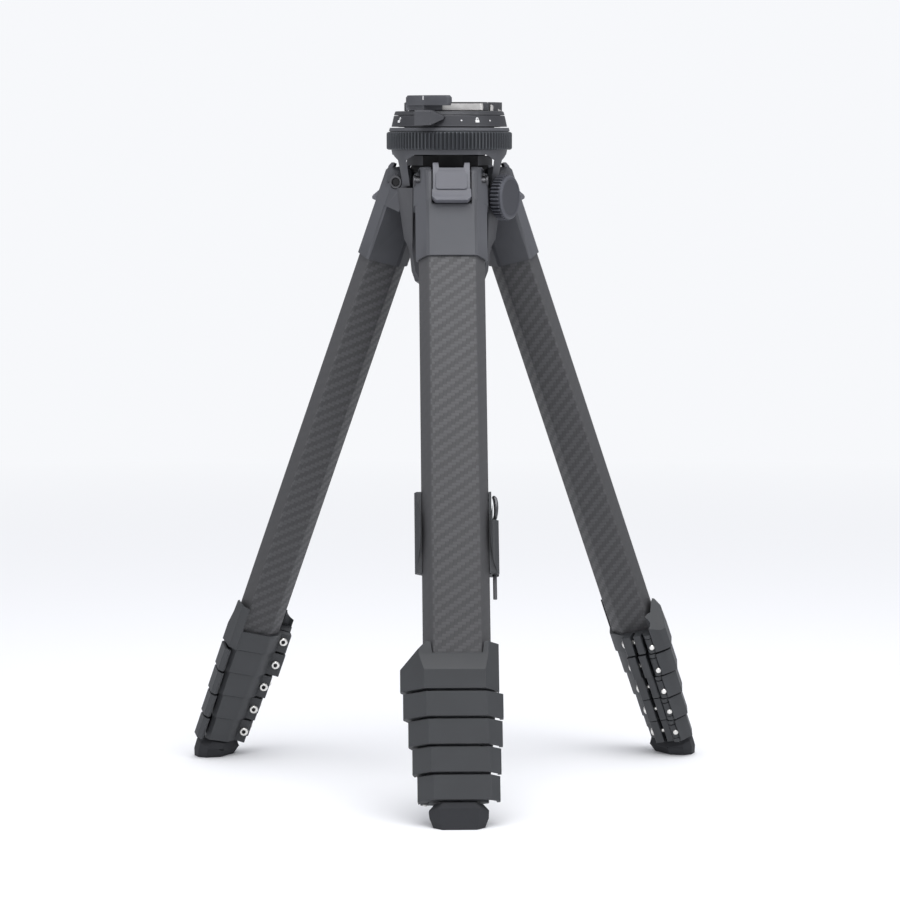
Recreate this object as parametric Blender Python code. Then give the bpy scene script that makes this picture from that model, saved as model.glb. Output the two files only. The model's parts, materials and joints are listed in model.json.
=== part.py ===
"""Travel tripod with a low-profile levelling head, legs collapsed and spread to the first stop.

Metres, +Z up.  The origin is the centre of the camera plate's top face.
Sizes are in millimetres and angles in degrees.  Head and hub shapes are drawn with heights
above the ground, which lies PLATE_TOP below the origin, and lowered when finished.
Each leg has its own frame, with its origin on the leg's hinge axis: x across the leg,
y outwards and z down along the leg.  Front is outwards, and left is -x.
"""
import bpy
import bmesh
from collections import namedtuple
from math import cos, pi, radians, sin, sqrt
from mathutils import Matrix, Vector

for old in list(bpy.data.objects):
    bpy.data.objects.remove(old, do_unlink=True)

MILLIMETRE = 0.001
GAP = 0.3                      # clearance between neighbouring pieces

# overall
PLATE_TOP = 361.0              # camera plate's top face above the ground
LEG_AZIMUTHS = (-90.0, 30.0, 150.0)
LEG_ANGLE = 21.4               # leg from the vertical at the first stop
PIVOT_RADIUS, PIVOT_HEIGHT = 21.8, 319.0
TUBE_OFFSET = 1.5              # tube centre line outwards of the hinge axis

# leg hinge and latch
LUG_HALF = 10.7                # half width of the hub's lugs
BOLT_BORE = 3.35
BOLT_HEAD_BORE = 3.95
LATCH_HALF = 10.25
LATCH_OUT = 10.0               # latch's hinge, outwards of the leg's hinge axis
CASTING_END = 44.6

# leg tubes: a flattened hexagon about the tube centre line, nested six deep
TUBE_BACK = -10.8
TUBE_HEX = (                   # across, out: from the front left corner round the back
    (-12.3, 9.05), (-17.8, 0.0), (-4.8, TUBE_BACK),
    (4.8, TUBE_BACK), (17.8, 0.0), (12.3, 9.05),
)
TUBE_COUNT = 6
TUBE_WALL = 0.8
TUBE_STEP = TUBE_WALL + GAP
TUBE_TOP = 30.3                # top of the outer tube, inside the top casting

# leg locks, from the top; across and out places are about the tube centre line
Lock = namedtuple("Lock", (
    "top bottom "              # collar, down the leg
    "lever_top front left right "  # lever's top, front face, and ends across the leg
    "hinge_across hinge_out "  # lever's hinge pin
    "ear_shift ear_out "       # slit's place from the middle of the back left side; ears' height
    "side"                     # half width of the collar's band
))
LOCKS = (
    Lock(264.2, 275.0, 250.3, 11.5, -28.8, 20.2, -22.5, -6.0, 1.65, 6.0, 19.9),
    Lock(276.0, 289.0, 276.2, 10.9, -27.4, 23.0, -21.3, -5.9, 2.0, 7.2, 18.7),
    Lock(290.0, 303.0, 290.2, 10.0, -24.9, 22.4, -19.6, -5.7, 2.4, 4.9, 17.5),
    Lock(304.0, 317.0, 304.2, 9.0, -23.0, 21.5, -18.2, -5.4, 2.75, 4.3, 16.3),
    Lock(318.0, 331.0, 318.2, 8.1, -20.6, 20.8, -16.7, -5.0, 3.1, 3.6, 15.1),
)
LEVER_END_GAP = 0.1            # lever's lower end above the collar's
LEVER_THICK = 2.0
LUG_THICK = 2.2                # collar lugs that hold the lever's hinge pin
SLIT_HALF = 0.95               # half width of the collar's slit
FOOT_TOP = LOCKS[-1].bottom + 1.0

# holder and key on the first leg
HOLDER_TOP, HOLDER_BODY_TOP, HOLDER_BOTTOM = 170.0, 185.0, 213.0
KEY_ORIGIN = (20.0, -3.4 + TUBE_OFFSET, 183.6)

# head: spherical surfaces share one centre
BALL_HEIGHT = 350.0            # tilt centre above the ground
BALL_RADIUS = 24.0
TILT_LINER_INNER, TILT_LINER_OUTER = BALL_RADIUS + GAP, 26.2
PAN_LINER_INNER, PAN_LINER_OUTER = TILT_LINER_OUTER + GAP, 28.3
BOWL_SEAT = PAN_LINER_OUTER + GAP
BOWL_MOUTH = 31.0
CLAMP_PIVOT = (-21.9, -17.2)
LOCK_TAB_AZIMUTH = -114.7

# column and its knob
COLUMN_FLAT, COLUMN_LOBE = 9.3, 15.5     # distances from the axis
COLUMN_FLAT_HALF, COLUMN_LOBE_HALF = 8.8, 3.4
COLUMN_WALL = 1.6
COLUMN_BOTTOM, COLUMN_TOP = 104.0, 333.1
KNOB_AZIMUTH, KNOB_HEIGHT = -30.0, 311.0
SCREW_BORE = 1.8


# ---------------------------------------------------------------- materials
Finish = namedtuple("Finish", "label colour roughness metallic")
CASTING_GREY = Finish(
    "casting_grey", colour=(0.060, 0.060, 0.066), roughness=0.52, metallic=0.35)
CARBON = Finish("carbon_tube", colour=(0.085, 0.085, 0.088), roughness=0.42, metallic=0.10)
PLASTIC = Finish("lever_plastic", colour=(0.052, 0.053, 0.058), roughness=0.50, metallic=0.05)
RUBBER = Finish("foot_rubber", colour=(0.040, 0.040, 0.046), roughness=0.85, metallic=0.00)
ANODISED = Finish("anodised_dark", colour=(0.045, 0.046, 0.050), roughness=0.42, metallic=0.60)
STEEL = Finish("bright_steel", colour=(0.620, 0.620, 0.600), roughness=0.28, metallic=1.00)
POLYMER = Finish("liner_polymer", colour=(0.500, 0.490, 0.450), roughness=0.60, metallic=0.00)


def make_material(name, finish):
    material = bpy.data.materials.new(name)
    material.use_nodes = True
    inputs = material.node_tree.nodes["Principled BSDF"].inputs
    inputs["Base Color"].default_value = (*finish.colour, 1.0)
    inputs["Roughness"].default_value = finish.roughness
    inputs["Metallic"].default_value = finish.metallic
    return material


# ---------------------------------------------------------------- objects
def link(name, data=None):
    """New object in the scene; an empty when it has no data."""
    item = bpy.data.objects.new(name, data)
    bpy.context.scene.collection.objects.link(item)
    return item


def place(name, mesh, finish, parent=None, origin=(0, 0, 0), smooth=None):
    """One piece, its origin in its parent's frame; a shared mesh keeps its first material.

    smooth is the angle above which edges stay sharp.
    """
    item = link(name, mesh)
    if not mesh.materials:
        mesh.materials.append(make_material(name + "_" + finish.label, finish))
    if parent is not None:
        item.parent = parent
    item.location = Vector(origin) * MILLIMETRE
    if smooth is not None:
        mesh.shade_smooth()
        mesh.set_sharp_from_angle(angle=radians(smooth))
    return item


# ---------------------------------------------------------------- solids
def point_outward(body):
    """Point every face of one closed body outwards."""
    bmesh.ops.recalc_face_normals(body, faces=body.faces)
    if body.calc_volume(signed=True) < 0:
        bmesh.ops.reverse_faces(body, faces=body.faces)


def finished(body):
    """Turn a closed body into a mesh with outward faces."""
    point_outward(body)
    mesh = bpy.data.meshes.new("shape")
    body.to_mesh(mesh)
    body.free()
    return mesh


def solid(rings, closed=False):
    """Skin rings of equal count; closed joins the last to the first, otherwise ends are capped."""
    body = bmesh.new()
    rows = [[body.verts.new(Vector(point) * MILLIMETRE) for point in ring] for ring in rings]
    pairs = list(zip(rows, rows[1:])) + ([(rows[-1], rows[0])] if closed else [])
    for row, following in pairs:
        for i in range(len(row)):
            j = (i + 1) % len(row)
            body.faces.new((row[i], row[j], following[j], following[i]))
    if not closed:
        body.faces.new(rows[0])
        body.faces.new(rows[-1])
    return finished(body)


def at_level(outline, z):
    return [(x, y, z) for x, y in outline]


def prism(outline, start, end, way="z"):
    """Extrude an outline: (x, y) along z, (y, z) along x, or (x, z) along y."""
    put = {
        "z": lambda point, level: (point[0], point[1], level),
        "x": lambda point, level: (level, point[0], point[1]),
        "y": lambda point, level: (point[0], level, point[1]),
    }[way]
    return solid([[put(point, level) for point in outline] for level in (start, end)])


def pipe(outer, inner, start, end):
    """Open-ended tube along z between two outlines."""
    rings = ((outer, start), (outer, end), (inner, end), (inner, start))
    return solid([at_level(outline, z) for outline, z in rings], closed=True)


def turned(profile, sides):
    """Spin a closed (radius, z) outline about z; points on the axis close the shape."""
    body = bmesh.new()
    columns = []
    for radius, z in profile:
        if radius < 1e-6:
            columns.append([body.verts.new((0, 0, z * MILLIMETRE))])
        else:
            columns.append([
                body.verts.new((
                    radius * MILLIMETRE * cos(2 * pi * i / sides),
                    radius * MILLIMETRE * sin(2 * pi * i / sides),
                    z * MILLIMETRE,
                ))
                for i in range(sides)
            ])
    for column, following in zip(columns, columns[1:] + columns[:1]):
        if len(column) == 1 and len(following) == 1:
            continue
        for i in range(sides):
            j = (i + 1) % sides
            face = column[:] if len(column) == 1 else [column[i], column[j]]
            face += following if len(following) == 1 else [following[j], following[i]]
            body.faces.new(face)
    return finished(body)


def turned_on_x(stations, sides):
    """Turned piece along x from (x, radius) stations, its ends capped."""
    return solid([
        [(x, y, z) for y, z in circle(0, 0, radius, sides)] for x, radius in stations
    ])


def wire(path, radius, sides, section_axes):
    """Round wire along a path; section_axes gives its section's two axes for a direction."""
    rings = []
    for i, point in enumerate(path):
        direction = (path[min(i + 1, len(path) - 1)] - path[max(i - 1, 0)]).normalized()
        first, second = section_axes(direction)
        turns = [2 * pi * j / sides for j in range(sides)]
        rings.append([
            point + first * radius * cos(turn) + second * radius * sin(turn) for turn in turns
        ])
    return solid(rings)


def combine(base, steps):
    """Run (operation, mesh) Boolean steps on base with the exact solver, and clean the result."""
    work = link("work", base)
    cutters = []
    for i, (operation, mesh) in enumerate(steps):
        cutter = link("cutter", mesh)
        cutter.hide_render = True
        cutter.display_type = "WIRE"
        modifier = work.modifiers.new("step_%d" % i, "BOOLEAN")
        modifier.operation = operation
        modifier.solver = "EXACT"
        modifier.object = cutter
        cutters.append(cutter)
    bpy.context.view_layer.update()
    graph = bpy.context.evaluated_depsgraph_get()
    result = bpy.data.meshes.new_from_object(work.evaluated_get(graph))
    for helper in [work] + cutters:
        bpy.data.objects.remove(helper, do_unlink=True)
    result.materials.clear()
    body = bmesh.new()
    body.from_mesh(result)
    bmesh.ops.remove_doubles(body, verts=body.verts, dist=0.00002)
    bmesh.ops.dissolve_degenerate(body, edges=body.edges, dist=0.00001)
    bmesh.ops.dissolve_limit(
        body, angle_limit=radians(0.5), verts=body.verts, edges=body.edges)
    bmesh.ops.triangulate(body, faces=body.faces)
    body.to_mesh(result)
    body.free()
    return result


# ---------------------------------------------------------------- outlines
def inset(outline, depth):
    """Move every side of a closed outline inwards by depth (outwards when negative)."""
    count = len(outline)
    area = sum(
        outline[i][0] * outline[(i + 1) % count][1] - outline[(i + 1) % count][0] * outline[i][1]
        for i in range(count)
    )
    turn = 1.0 if area > 0 else -1.0

    def inward(start, end):
        run, rise = end[0] - start[0], end[1] - start[1]
        length = sqrt(run * run + rise * rise)
        return -rise / length * turn, run / length * turn

    moved = []
    for i, corner in enumerate(outline):
        before = inward(outline[i - 1], corner)
        after = inward(corner, outline[(i + 1) % count])
        reach = depth / (1.0 + before[0] * after[0] + before[1] * after[1])
        moved.append((
            corner[0] + (before[0] + after[0]) * reach,
            corner[1] + (before[1] + after[1]) * reach,
        ))
    return moved


def eased(outline, cut):
    """Replace each corner by a short chamfer of length cut along both sides."""
    points = [Vector(point) for point in outline]
    chamfered = []
    for i, corner in enumerate(points):
        for neighbour in (points[i - 1], points[(i + 1) % len(points)]):
            chamfered.append(tuple(corner + (neighbour - corner).normalized() * cut))
    return chamfered


def arc(x, y, radius, start, end, steps):
    angles = [radians(start + (end - start) * i / steps) for i in range(steps + 1)]
    return [(x + radius * cos(angle), y + radius * sin(angle)) for angle in angles]


def circle(x, y, radius, sides):
    angles = [2 * pi * i / sides for i in range(sides)]
    return [(x + radius * cos(angle), y + radius * sin(angle)) for angle in angles]


def bolt_hole(x, y, radius):
    return arc(x, y, radius, 0, 337.5, 15)


def rectangle(left, right, low, high):
    return [(left, low), (right, low), (right, high), (left, high)]


def mirrored(half):
    """Close a half outline with its mirror image in x."""
    return half + [(-x, y) for x, y in reversed(half)]


def shifted(outline, x, y):
    return [(point[0] + x, point[1] + y) for point in outline]


def lifted(outline):
    """From the tube centre line's frame to the leg's frame."""
    return shifted(outline, 0, TUBE_OFFSET)


def tube_outline(index, extra=0.0):
    """Outline of a tube in the leg frame, 0 the outermost; extra grows it."""
    return lifted(eased(inset(TUBE_HEX, TUBE_STEP * index - extra), 1.3 - 0.2 * index))


# ---------------------------------------------------------------- leg pieces (leg frame)
def casting_mesh():
    """Fork casting: two cheeks on the bolt, a front wall with the latch opening, and a sleeve."""
    sleeve = lifted(eased(mirrored([(-13.0, 10.25), (-19.4, 0.0), (-5.4, -12.1)]), 1.2))
    cheeks = eased(mirrored([(-12.8, 11.75), (-19.6, 1.5), (-19.6, -8.3)]), 0.8)
    side_view = arc(0, 0, 8.3, 180, 310, 9) + [
        (9.4, -4.7), (11.9, -1.6), (12.4, 60), (-11, 60), (-11, 13.5), (-8.3, 9.5),
    ]
    front_view = mirrored([
        (-25, 60), (-25, -1.6), (-19.6, -3.2), (-16.5, -5.6), (-11.0, -8.6),
    ])
    body = combine(prism(cheeks, -9.0, 14.0), [
        ("UNION", prism(sleeve, 13.0, CASTING_END)),
        ("INTERSECT", prism(side_view, -25, 25, "x")),
        ("INTERSECT", prism(front_view, -25, 25, "y")),
    ])
    # room between the cheeks for the hub's lug
    fork_half = LUG_HALF + GAP
    fork = [(-30.0, -30.0), (7.9, -30.0), (7.9, 8.0), (6.4, 9.6), (-30.0, 9.6)]
    opening_half = LATCH_HALF + GAP
    opening = rectangle(-opening_half, opening_half, -12.0, 16.4)
    deep_opening = rectangle(-opening_half, opening_half, -12.0, 0.9)
    bore = bolt_hole(0, 0, BOLT_BORE)
    head_bore = bolt_hole(0, 0, BOLT_HEAD_BORE)
    return combine(body, [
        ("DIFFERENCE", prism(fork, -fork_half, fork_half, "x")),
        ("DIFFERENCE", prism(tube_outline(0, GAP), TUBE_TOP - GAP, 60.0)),
        ("DIFFERENCE", prism(opening, 9.0, 20.0, "y")),
        ("DIFFERENCE", prism(deep_opening, 7.0, 20.0, "y")),
        ("DIFFERENCE", prism(bore, -25.0, 25.0, "x")),
        ("DIFFERENCE", prism(head_bore, 18.0, 25.0, "x")),
        ("DIFFERENCE", prism(head_bore, -25.0, -18.0, "x")),
    ])


def latch_mesh():
    """Leg angle latch about its own hinge: a notched plate with a thumb lip at its foot."""
    side_view = [                # out from the leg's hinge axis, down
        (9.3, -6.8), (11.2, -6.8), (12.3, -4.4), (12.4, 9.0),
        (15.9, 14.6), (15.9, 15.9), (12.0, 16.1), (9.3, 14.0),
    ]
    front_view = [
        (-LATCH_HALF, -8.0), (LATCH_HALF, -8.0), (LATCH_HALF, 13.4),
        (7.9, 16.6), (-7.9, 16.6), (-LATCH_HALF, 13.4),
    ]
    notch = [(-7.0, -9.0), (7.0, -9.0), (6.4, -3.6), (-6.4, -3.6)]
    plate = prism(shifted(side_view, -LATCH_OUT, 0), -LATCH_HALF, LATCH_HALF, "x")
    plate = combine(plate, [("INTERSECT", prism(front_view, -5.0, 10.0, "y"))])
    return combine(plate, [("DIFFERENCE", prism(notch, -5.0, 10.0, "y"))])


def bolt_mesh():
    """Hinge bolt: a plain shank with a head dished at its rim at each end."""
    half = [                     # across, radius
        (-19.0, 1.9), (-19.7, 1.9), (-19.7, 3.3), (-19.4, 3.6), (-18.35, 3.6), (-18.35, 3.0),
    ]
    return turned_on_x(mirrored(half), 12)


def band_front_half(index):
    """Half width of a collar's front flat."""
    return 12.6 - 0.9 * index


def band_back_left(index):
    """Ends of a collar's back left side, about the tube centre line."""
    back = TUBE_BACK + TUBE_STEP * index - 1.6
    return [(-LOCKS[index].side, -1.6), (-6.4, back + 0.6)]


def band_outline(index):
    """Outline of a lock collar: a hexagonal band round the tube."""
    lock = LOCKS[index]
    front = lock.front - LEVER_THICK - GAP
    back = TUBE_BACK + TUBE_STEP * index - 1.6
    half = band_front_half(index)
    left = [(-half, front), (-half - 2.2, front - 1.6), (-lock.side, 1.2)]
    return lifted(mirrored(left + band_back_left(index) + [(-5.0, back)]))


def ear_outlines(index):
    """Two clamping ears on the back left side, and the slit between them."""
    start, end = (Vector(point) for point in band_back_left(index))
    middle = (start + end) / 2 + Vector((0, TUBE_OFFSET))
    along = (end - start).normalized()
    outwards = Vector((along.y, -along.x))
    shift, height = LOCKS[index].ear_shift, LOCKS[index].ear_out
    # each outline: along the side from the slit's middle, out of the side
    left_ear = [
        (-5.3, -1.2), (-5.3, height - 0.5), (-4.8, height),
        (-1.3, height), (-SLIT_HALF, height - 0.35), (-SLIT_HALF, -1.2),
    ]
    right_ear = [
        (SLIT_HALF, -1.2), (SLIT_HALF, height - 0.35), (1.3, height),
        (5.4, height), (5.9, height - 0.5), (5.9, -4.5), (3.5, -4.5),
    ]
    slit = [(-SLIT_HALF, -1.0), (-SLIT_HALF, 1.0), (SLIT_HALF, 1.0), (SLIT_HALF, -1.0)]
    return [
        [middle + along * (shift + x) + outwards * y for x, y in outline]
        for outline in (left_ear, right_ear, slit)
    ]


def section_mesh(index):
    """Leg tube with its lock collar; the thinnest carries the foot and has no collar."""
    top = TUBE_TOP + (0.0 if index == 0 else 1.7 + 2.0 * (index - 1))
    outer, inner = tube_outline(index), tube_outline(index, -TUBE_WALL)
    if index == TUBE_COUNT - 1:
        return pipe(outer, inner, top, FOOT_TOP - GAP)
    lock = LOCKS[index]
    tube = pipe(outer, inner, top, lock.bottom)
    root = lifted([(-lock.side + 2.0, -1.3), (-lock.side + 4.5, -5.0)])
    knuckle = arc(lock.hinge_across, lock.hinge_out + TUBE_OFFSET, 2.4, 62, 298, 7)
    lug = [root[0]] + knuckle + [root[1]]
    left_ear, right_ear, slit = ear_outlines(index)
    band = combine(prism(band_outline(index), lock.top, lock.bottom), [
        ("UNION", prism(lug, lock.top, lock.top + LUG_THICK)),
        ("UNION", prism(lug, lock.bottom - LUG_THICK, lock.bottom)),
        ("UNION", prism(left_ear, lock.top, lock.bottom)),
        ("UNION", prism(right_ear, lock.top, lock.bottom)),
        ("DIFFERENCE", prism(slit, lock.top - 1, lock.bottom + 1)),
    ])
    # the bore is undersize, so that the band overlaps the tube wall
    bore = prism(tube_outline(index, -0.5), lock.top - 5, lock.bottom + 5)
    band = combine(band, [("DIFFERENCE", bore)])
    return combine(tube, [("UNION", band)])


def lever_mesh(index):
    """Cam lever about its hinge pin: a bar across the collar's front, a knuckle at its left."""
    lock = LOCKS[index]
    pin_x, pin_y = lock.hinge_across, lock.hinge_out
    front, left, right = lock.front, lock.left, lock.right
    back = front - LEVER_THICK
    side = lock.side + GAP
    half = band_front_half(index)
    top, bottom = lock.lever_top, lock.bottom - LEVER_END_GAP
    flat_left = -17.0 + 1.1 * index
    flat_right = 14.0 + 0.6 * index
    if index == 0:
        free_end = [
            (right + 0.9, 2.6), (right + 0.9, -2.2),
            (side + 0.05, -2.4), (side + 0.05, 1.2), (half + 2.5, back - 1.3),
        ]
    else:
        free_end = [
            (right, 3.4), (right, 0.4),
            (right - 1.9, 0.2), (right - 1.9, 3.0), (flat_right - 0.4, back),
        ]
    # from the hinge round the front to the free end, then back along the inside
    arm = [
        (pin_x - 3.4, pin_y - 0.6), (left + 0.3, -1.6), (left, 0.2), (left, 2.4),
        (flat_left, front), (flat_right, front),
    ] + free_end + [
        (half, back), (-half, back), (-half - 2.5, back - 1.3),
        (-side - 0.05, 1.2), (-side - 0.05, -1.2),
    ] + arc(pin_x, pin_y, 3.0, 60, 168, 5)
    knuckle = shifted(arc(pin_x, pin_y, 2.45, -10, -190, 8), -pin_x, -pin_y)
    knuckle += [(-3.6, 3.4), (-0.4, 4.6), (-side - 0.15 - pin_x, 3.4)]
    steps = [("UNION", prism(knuckle, max(top, lock.top) + 2.5, bottom - 2.4))]
    if index == 0:
        # the tall first lever's front face slopes back towards the top
        slope = [
            (9.0 - pin_y, top - 3.0), (40.0, top - 3.0), (40.0, 261.5),
            (front - pin_y, 261.5), (9.9 - pin_y, top),
        ]
        # and its left edge slopes in
        taper = [
            (left - pin_x - 5, top - 3), (-16.2 - pin_x, top - 3), (-16.2 - pin_x, top),
            (left - pin_x, 263.5), (left - pin_x - 5, 263.5),
        ]
        steps.append(("DIFFERENCE", prism(slope, -60, 60, "x")))
        steps.append(("DIFFERENCE", prism(taper, -40, 60, "y")))
    return combine(prism(shifted(arm, -pin_x, -pin_y), top, bottom), steps)


def foot_mesh():
    """Rubber foot, bevelled all round, its sole flat on the ground at the first stop."""
    tilt = radians(LEG_ANGLE)
    base = mirrored([(-10.0, 8.6), (-15.0, 3.0), (-15.0, -2.6), (-8.4, -8.6)])

    def scaled(factor):
        return lifted([(x * factor, y * factor) for x, y in base])

    def above_ground(outline, height):
        """Put each point at a height above the ground."""
        return [(x, y, (PIVOT_HEIGHT - height + y * sin(tilt)) / cos(tilt)) for x, y in outline]

    return solid([
        at_level(scaled(0.80), FOOT_TOP),
        at_level(scaled(1.0), FOOT_TOP + 3.4),
        above_ground(scaled(0.985), 4.6),
        above_ground(scaled(0.86), 0.0),
    ])


def holder_mesh():
    """Clip round the outer tube's back, with bowed front edges and a key channel on its right."""
    def wrap(hexagon):
        """The hexagon's sides and back, with the front slants cut short."""
        def part_way(start, end):
            return tuple(start[i] + (end[i] - start[i]) * 0.45 for i in range(2))
        tips = part_way(hexagon[0], hexagon[1]), part_way(hexagon[5], hexagon[4])
        return [tips[0]] + hexagon[1:5] + [tips[1]]

    inner = inset(TUBE_HEX, -GAP)
    clip = lifted(wrap(inset(TUBE_HEX, -2.3)) + wrap(inner)[::-1])
    body = lifted([
        (11.0, -6.4), (14.0, -7.4), (20.8, -7.4), (22.2, -5.8),
        (22.2, 0.6), (20.0, 2.6), (16.0, 2.6),
    ])
    channel = lifted(rectangle(18.6, 30.0, -5.0, -1.8))
    loop_room = lifted(rectangle(18.6, 30.0, -9.8, 2.2))
    bow = mirrored([             # across, down
        (20.8, 160.0), (20.8, 171.5), (19.2, 176.0), (18.0, 184.0), (17.7, 191.5),
        (18.0, 199.0), (19.2, 207.0), (20.8, 211.5), (20.8, 230.0),
    ])
    return combine(prism(clip, HOLDER_TOP, HOLDER_BOTTOM), [
        ("UNION", prism(body, HOLDER_BODY_TOP, HOLDER_BOTTOM)),
        ("DIFFERENCE", prism(lifted(inner), 160.0, 230.0)),
        ("DIFFERENCE", prism(channel, 160.0, 230.0)),
        ("DIFFERENCE", prism(loop_room, 160.0, HOLDER_BODY_TOP)),
        ("DIFFERENCE", prism(bow, 3.1, 20.0, "y")),
    ])


def key_mesh():
    """Hex key with a bowed wire loop at its head; about the foot of the loop."""
    path = [Vector((0, 0, z)) for z in (42.0, 22.0, 0.6)]
    for angle in range(25, 331, 30):
        turn = radians(angle)
        path.append(Vector((1.2 * abs(sin(turn)), 3.4 * sin(turn), -5.9 + 5.9 * cos(turn))))
    across = Vector((1, 0, 0))
    return wire(path, 1.1, 6, lambda along: (across, along.cross(across).normalized()))


# ---------------------------------------------------------------- head and hub helpers
def lowered(mesh, height=PLATE_TOP):
    """Move a mesh drawn above the ground so that its origin is at the given height."""
    mesh.transform(Matrix.Translation((0, 0, -height * MILLIMETRE)))
    return mesh


def upright_frame(azimuth):
    """Matrix from an upright frame (x across, y outwards, z up) to the world; it mirrors."""
    turn = radians(azimuth)
    return Matrix((
        (-sin(turn), cos(turn), 0, 0),
        (cos(turn), sin(turn), 0, 0),
        (0, 0, 1, 0),
        (0, 0, 0, 1),
    ))


def slab(outline, start, end, azimuth, way):
    """Prism in the upright frame at an azimuth."""
    mesh = prism(outline, start, end, way)
    mesh.transform(upright_frame(azimuth))
    body = bmesh.new()
    body.from_mesh(mesh)
    point_outward(body)
    body.to_mesh(mesh)
    body.free()
    return mesh


def at_legs(operation, outline, start, end, way):
    """The same Boolean step at each leg's azimuth."""
    return [(operation, slab(outline, start, end, azimuth, way)) for azimuth in LEG_AZIMUTHS]


def plan_point(azimuth, out, side):
    """Plan point at a distance out along an azimuth and a distance to its side."""
    turn = radians(azimuth)
    return cos(turn) * out - sin(turn) * side, sin(turn) * out + cos(turn) * side


def on_ball(radius, heights):
    """Profile points on a sphere about the tilt centre."""
    return [(sqrt(radius * radius - (z - BALL_HEIGHT) ** 2), z) for z in heights]


# ---------------------------------------------------------------- hub and column
def column_outline(extra=0.0):
    """Three lobes between the legs and three flats facing them; extra grows it."""
    points = []
    for azimuth in LEG_AZIMUTHS:
        for out, side in (
            (COLUMN_LOBE - 1.0, -COLUMN_LOBE_HALF), (COLUMN_LOBE, -COLUMN_LOBE_HALF + 1.2),
            (COLUMN_LOBE, COLUMN_LOBE_HALF - 1.2), (COLUMN_LOBE - 1.0, COLUMN_LOBE_HALF),
        ):
            points.append(plan_point(azimuth + 60.0, out, side))
        for side in (-COLUMN_FLAT_HALF, COLUMN_FLAT_HALF):
            points.append(plan_point(azimuth + 120.0, COLUMN_FLAT, side))
    return inset(points, -extra)


def hub_mesh():
    """Tapered hub with a lug for each leg and a crown round the column."""
    body = turned([
        (0, 265), (17.0, 265), (19.8, 266.6), (22.4, 272),
        (24.4, 285), (25.9, 289), (28.8, 316), (0, 316),
    ], 36)
    leg_room = [
        (-19.95, 13.2), (-8.5, 11.0), (8.5, 11.0), (19.95, 13.2), (19.95, 50.0), (-19.95, 50.0),
    ]
    body = combine(body, at_legs("DIFFERENCE", leg_room, 255, 330, "z"))

    rim = arc(PIVOT_RADIUS, PIVOT_HEIGHT, 6.8, -75, 100, 8)
    lug = [(9.9, 309.9), (15.5, 309.9)] + rim + [(9.9, 324.0)]
    body = combine(body, at_legs("UNION", lug, -LUG_HALF, LUG_HALF, "x"))

    crown = rectangle(5.0, 17.5, 311.0, 329.0)
    crown_top = [
        plan_point(azimuth, 17.8, side) for azimuth in LEG_AZIMUTHS for side in (-14.5, 14.5)
    ]
    steps = at_legs("UNION", crown, -10.4, 10.4, "x")
    body = combine(body, steps + [("UNION", prism(crown_top, 327.8, 332.9))])

    bolt_bore = bolt_hole(PIVOT_RADIUS, PIVOT_HEIGHT, BOLT_BORE)
    screw_bore = circle(0, KNOB_HEIGHT, SCREW_BORE, 14)
    steps = [("DIFFERENCE", prism(column_outline(GAP), 250, 340))]
    steps += at_legs("DIFFERENCE", bolt_bore, -12, 12, "x")
    steps.append(("DIFFERENCE", slab(screw_bore, 10.0, 40.0, KNOB_AZIMUTH, "y")))
    return lowered(combine(body, steps))


def column_mesh():
    inner = column_outline(-COLUMN_WALL)
    return lowered(pipe(column_outline(), inner, COLUMN_BOTTOM, COLUMN_TOP))


def hook_mesh():
    """Plug below the column's foot with a wire eye for ballast."""
    plug_top = COLUMN_BOTTOM - GAP
    plug = turned([(0, 96.0), (5.0, 96.0), (8.6, 97.4), (8.6, plug_top), (0, plug_top)], 24)
    path = [
        Vector((5.0 * sin(radians(angle)), 0, 92.2 - 5.0 * cos(radians(angle))))
        for angle in range(-165, 166, 30)
    ]
    level = Vector((0, 1, 0))
    eye = wire(path, 1.3, 8, lambda along: (level.cross(along).normalized(), level))
    return lowered(combine(plug, [("UNION", eye)]))


def knob_mesh():
    """Column knob along its own x axis: a round head on a screw that reaches the column."""
    return turned_on_x([         # x, radius
        (15.9, 1.3), (16.2, 1.5), (29.2, 1.5), (29.2, 10.2), (30.8, 11.7),
        (35.0, 11.7), (36.0, 10.9), (36.0, 9.6), (35.7, 9.2),
    ], 24)


# ---------------------------------------------------------------- levelling head
def neck_mesh():
    """Cup with three arms between the legs; its bowl seats the liners."""
    outline = [
        (0, 317), (26.7, 317), (29.6, 330.5), (30.7, 335.7), (30.7, 337.5),
        (31.5, 337.5), (31.5, 345.8), (32.05, 345.9), (31.6, 347.6),
    ]
    outline += on_ball(BOWL_MOUTH, (347.6, 344.5, 341.3))
    outline += on_ball(BOWL_SEAT, (341.3, 338.5, 335.6)) + [(0, 335.6)]
    arch = [
        (-21.3, 310.0), (21.3, 310.0), (21.3, 317.0), (23.2, 330.6),
        (19.0, 333.4), (-19.0, 333.4), (-23.2, 330.6), (-21.3, 317.0),
    ]
    return lowered(combine(turned(outline, 36), at_legs("DIFFERENCE", arch, -8.0, 45.0, "y")))


def liner_mesh(inner, outer, bottom, top, origin_height):
    """Spherical band between two radii about the tilt centre."""
    heights = [bottom + (top - bottom) * i / 2 for i in range(3)]
    profile = on_ball(outer, heights) + on_ball(inner, heights[::-1])
    return lowered(turned(profile, 32), origin_height)


def adjust_ring_mesh():
    """Adjusting ring, hooked under the cup's step."""
    return lowered(turned([
        (30.9, 336.0), (32.6, 336.0), (33.3, 336.8), (33.3, 344.7),
        (32.6, 345.5), (31.8, 345.5), (31.8, 337.2), (30.9, 337.2),
    ], 44))


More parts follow.
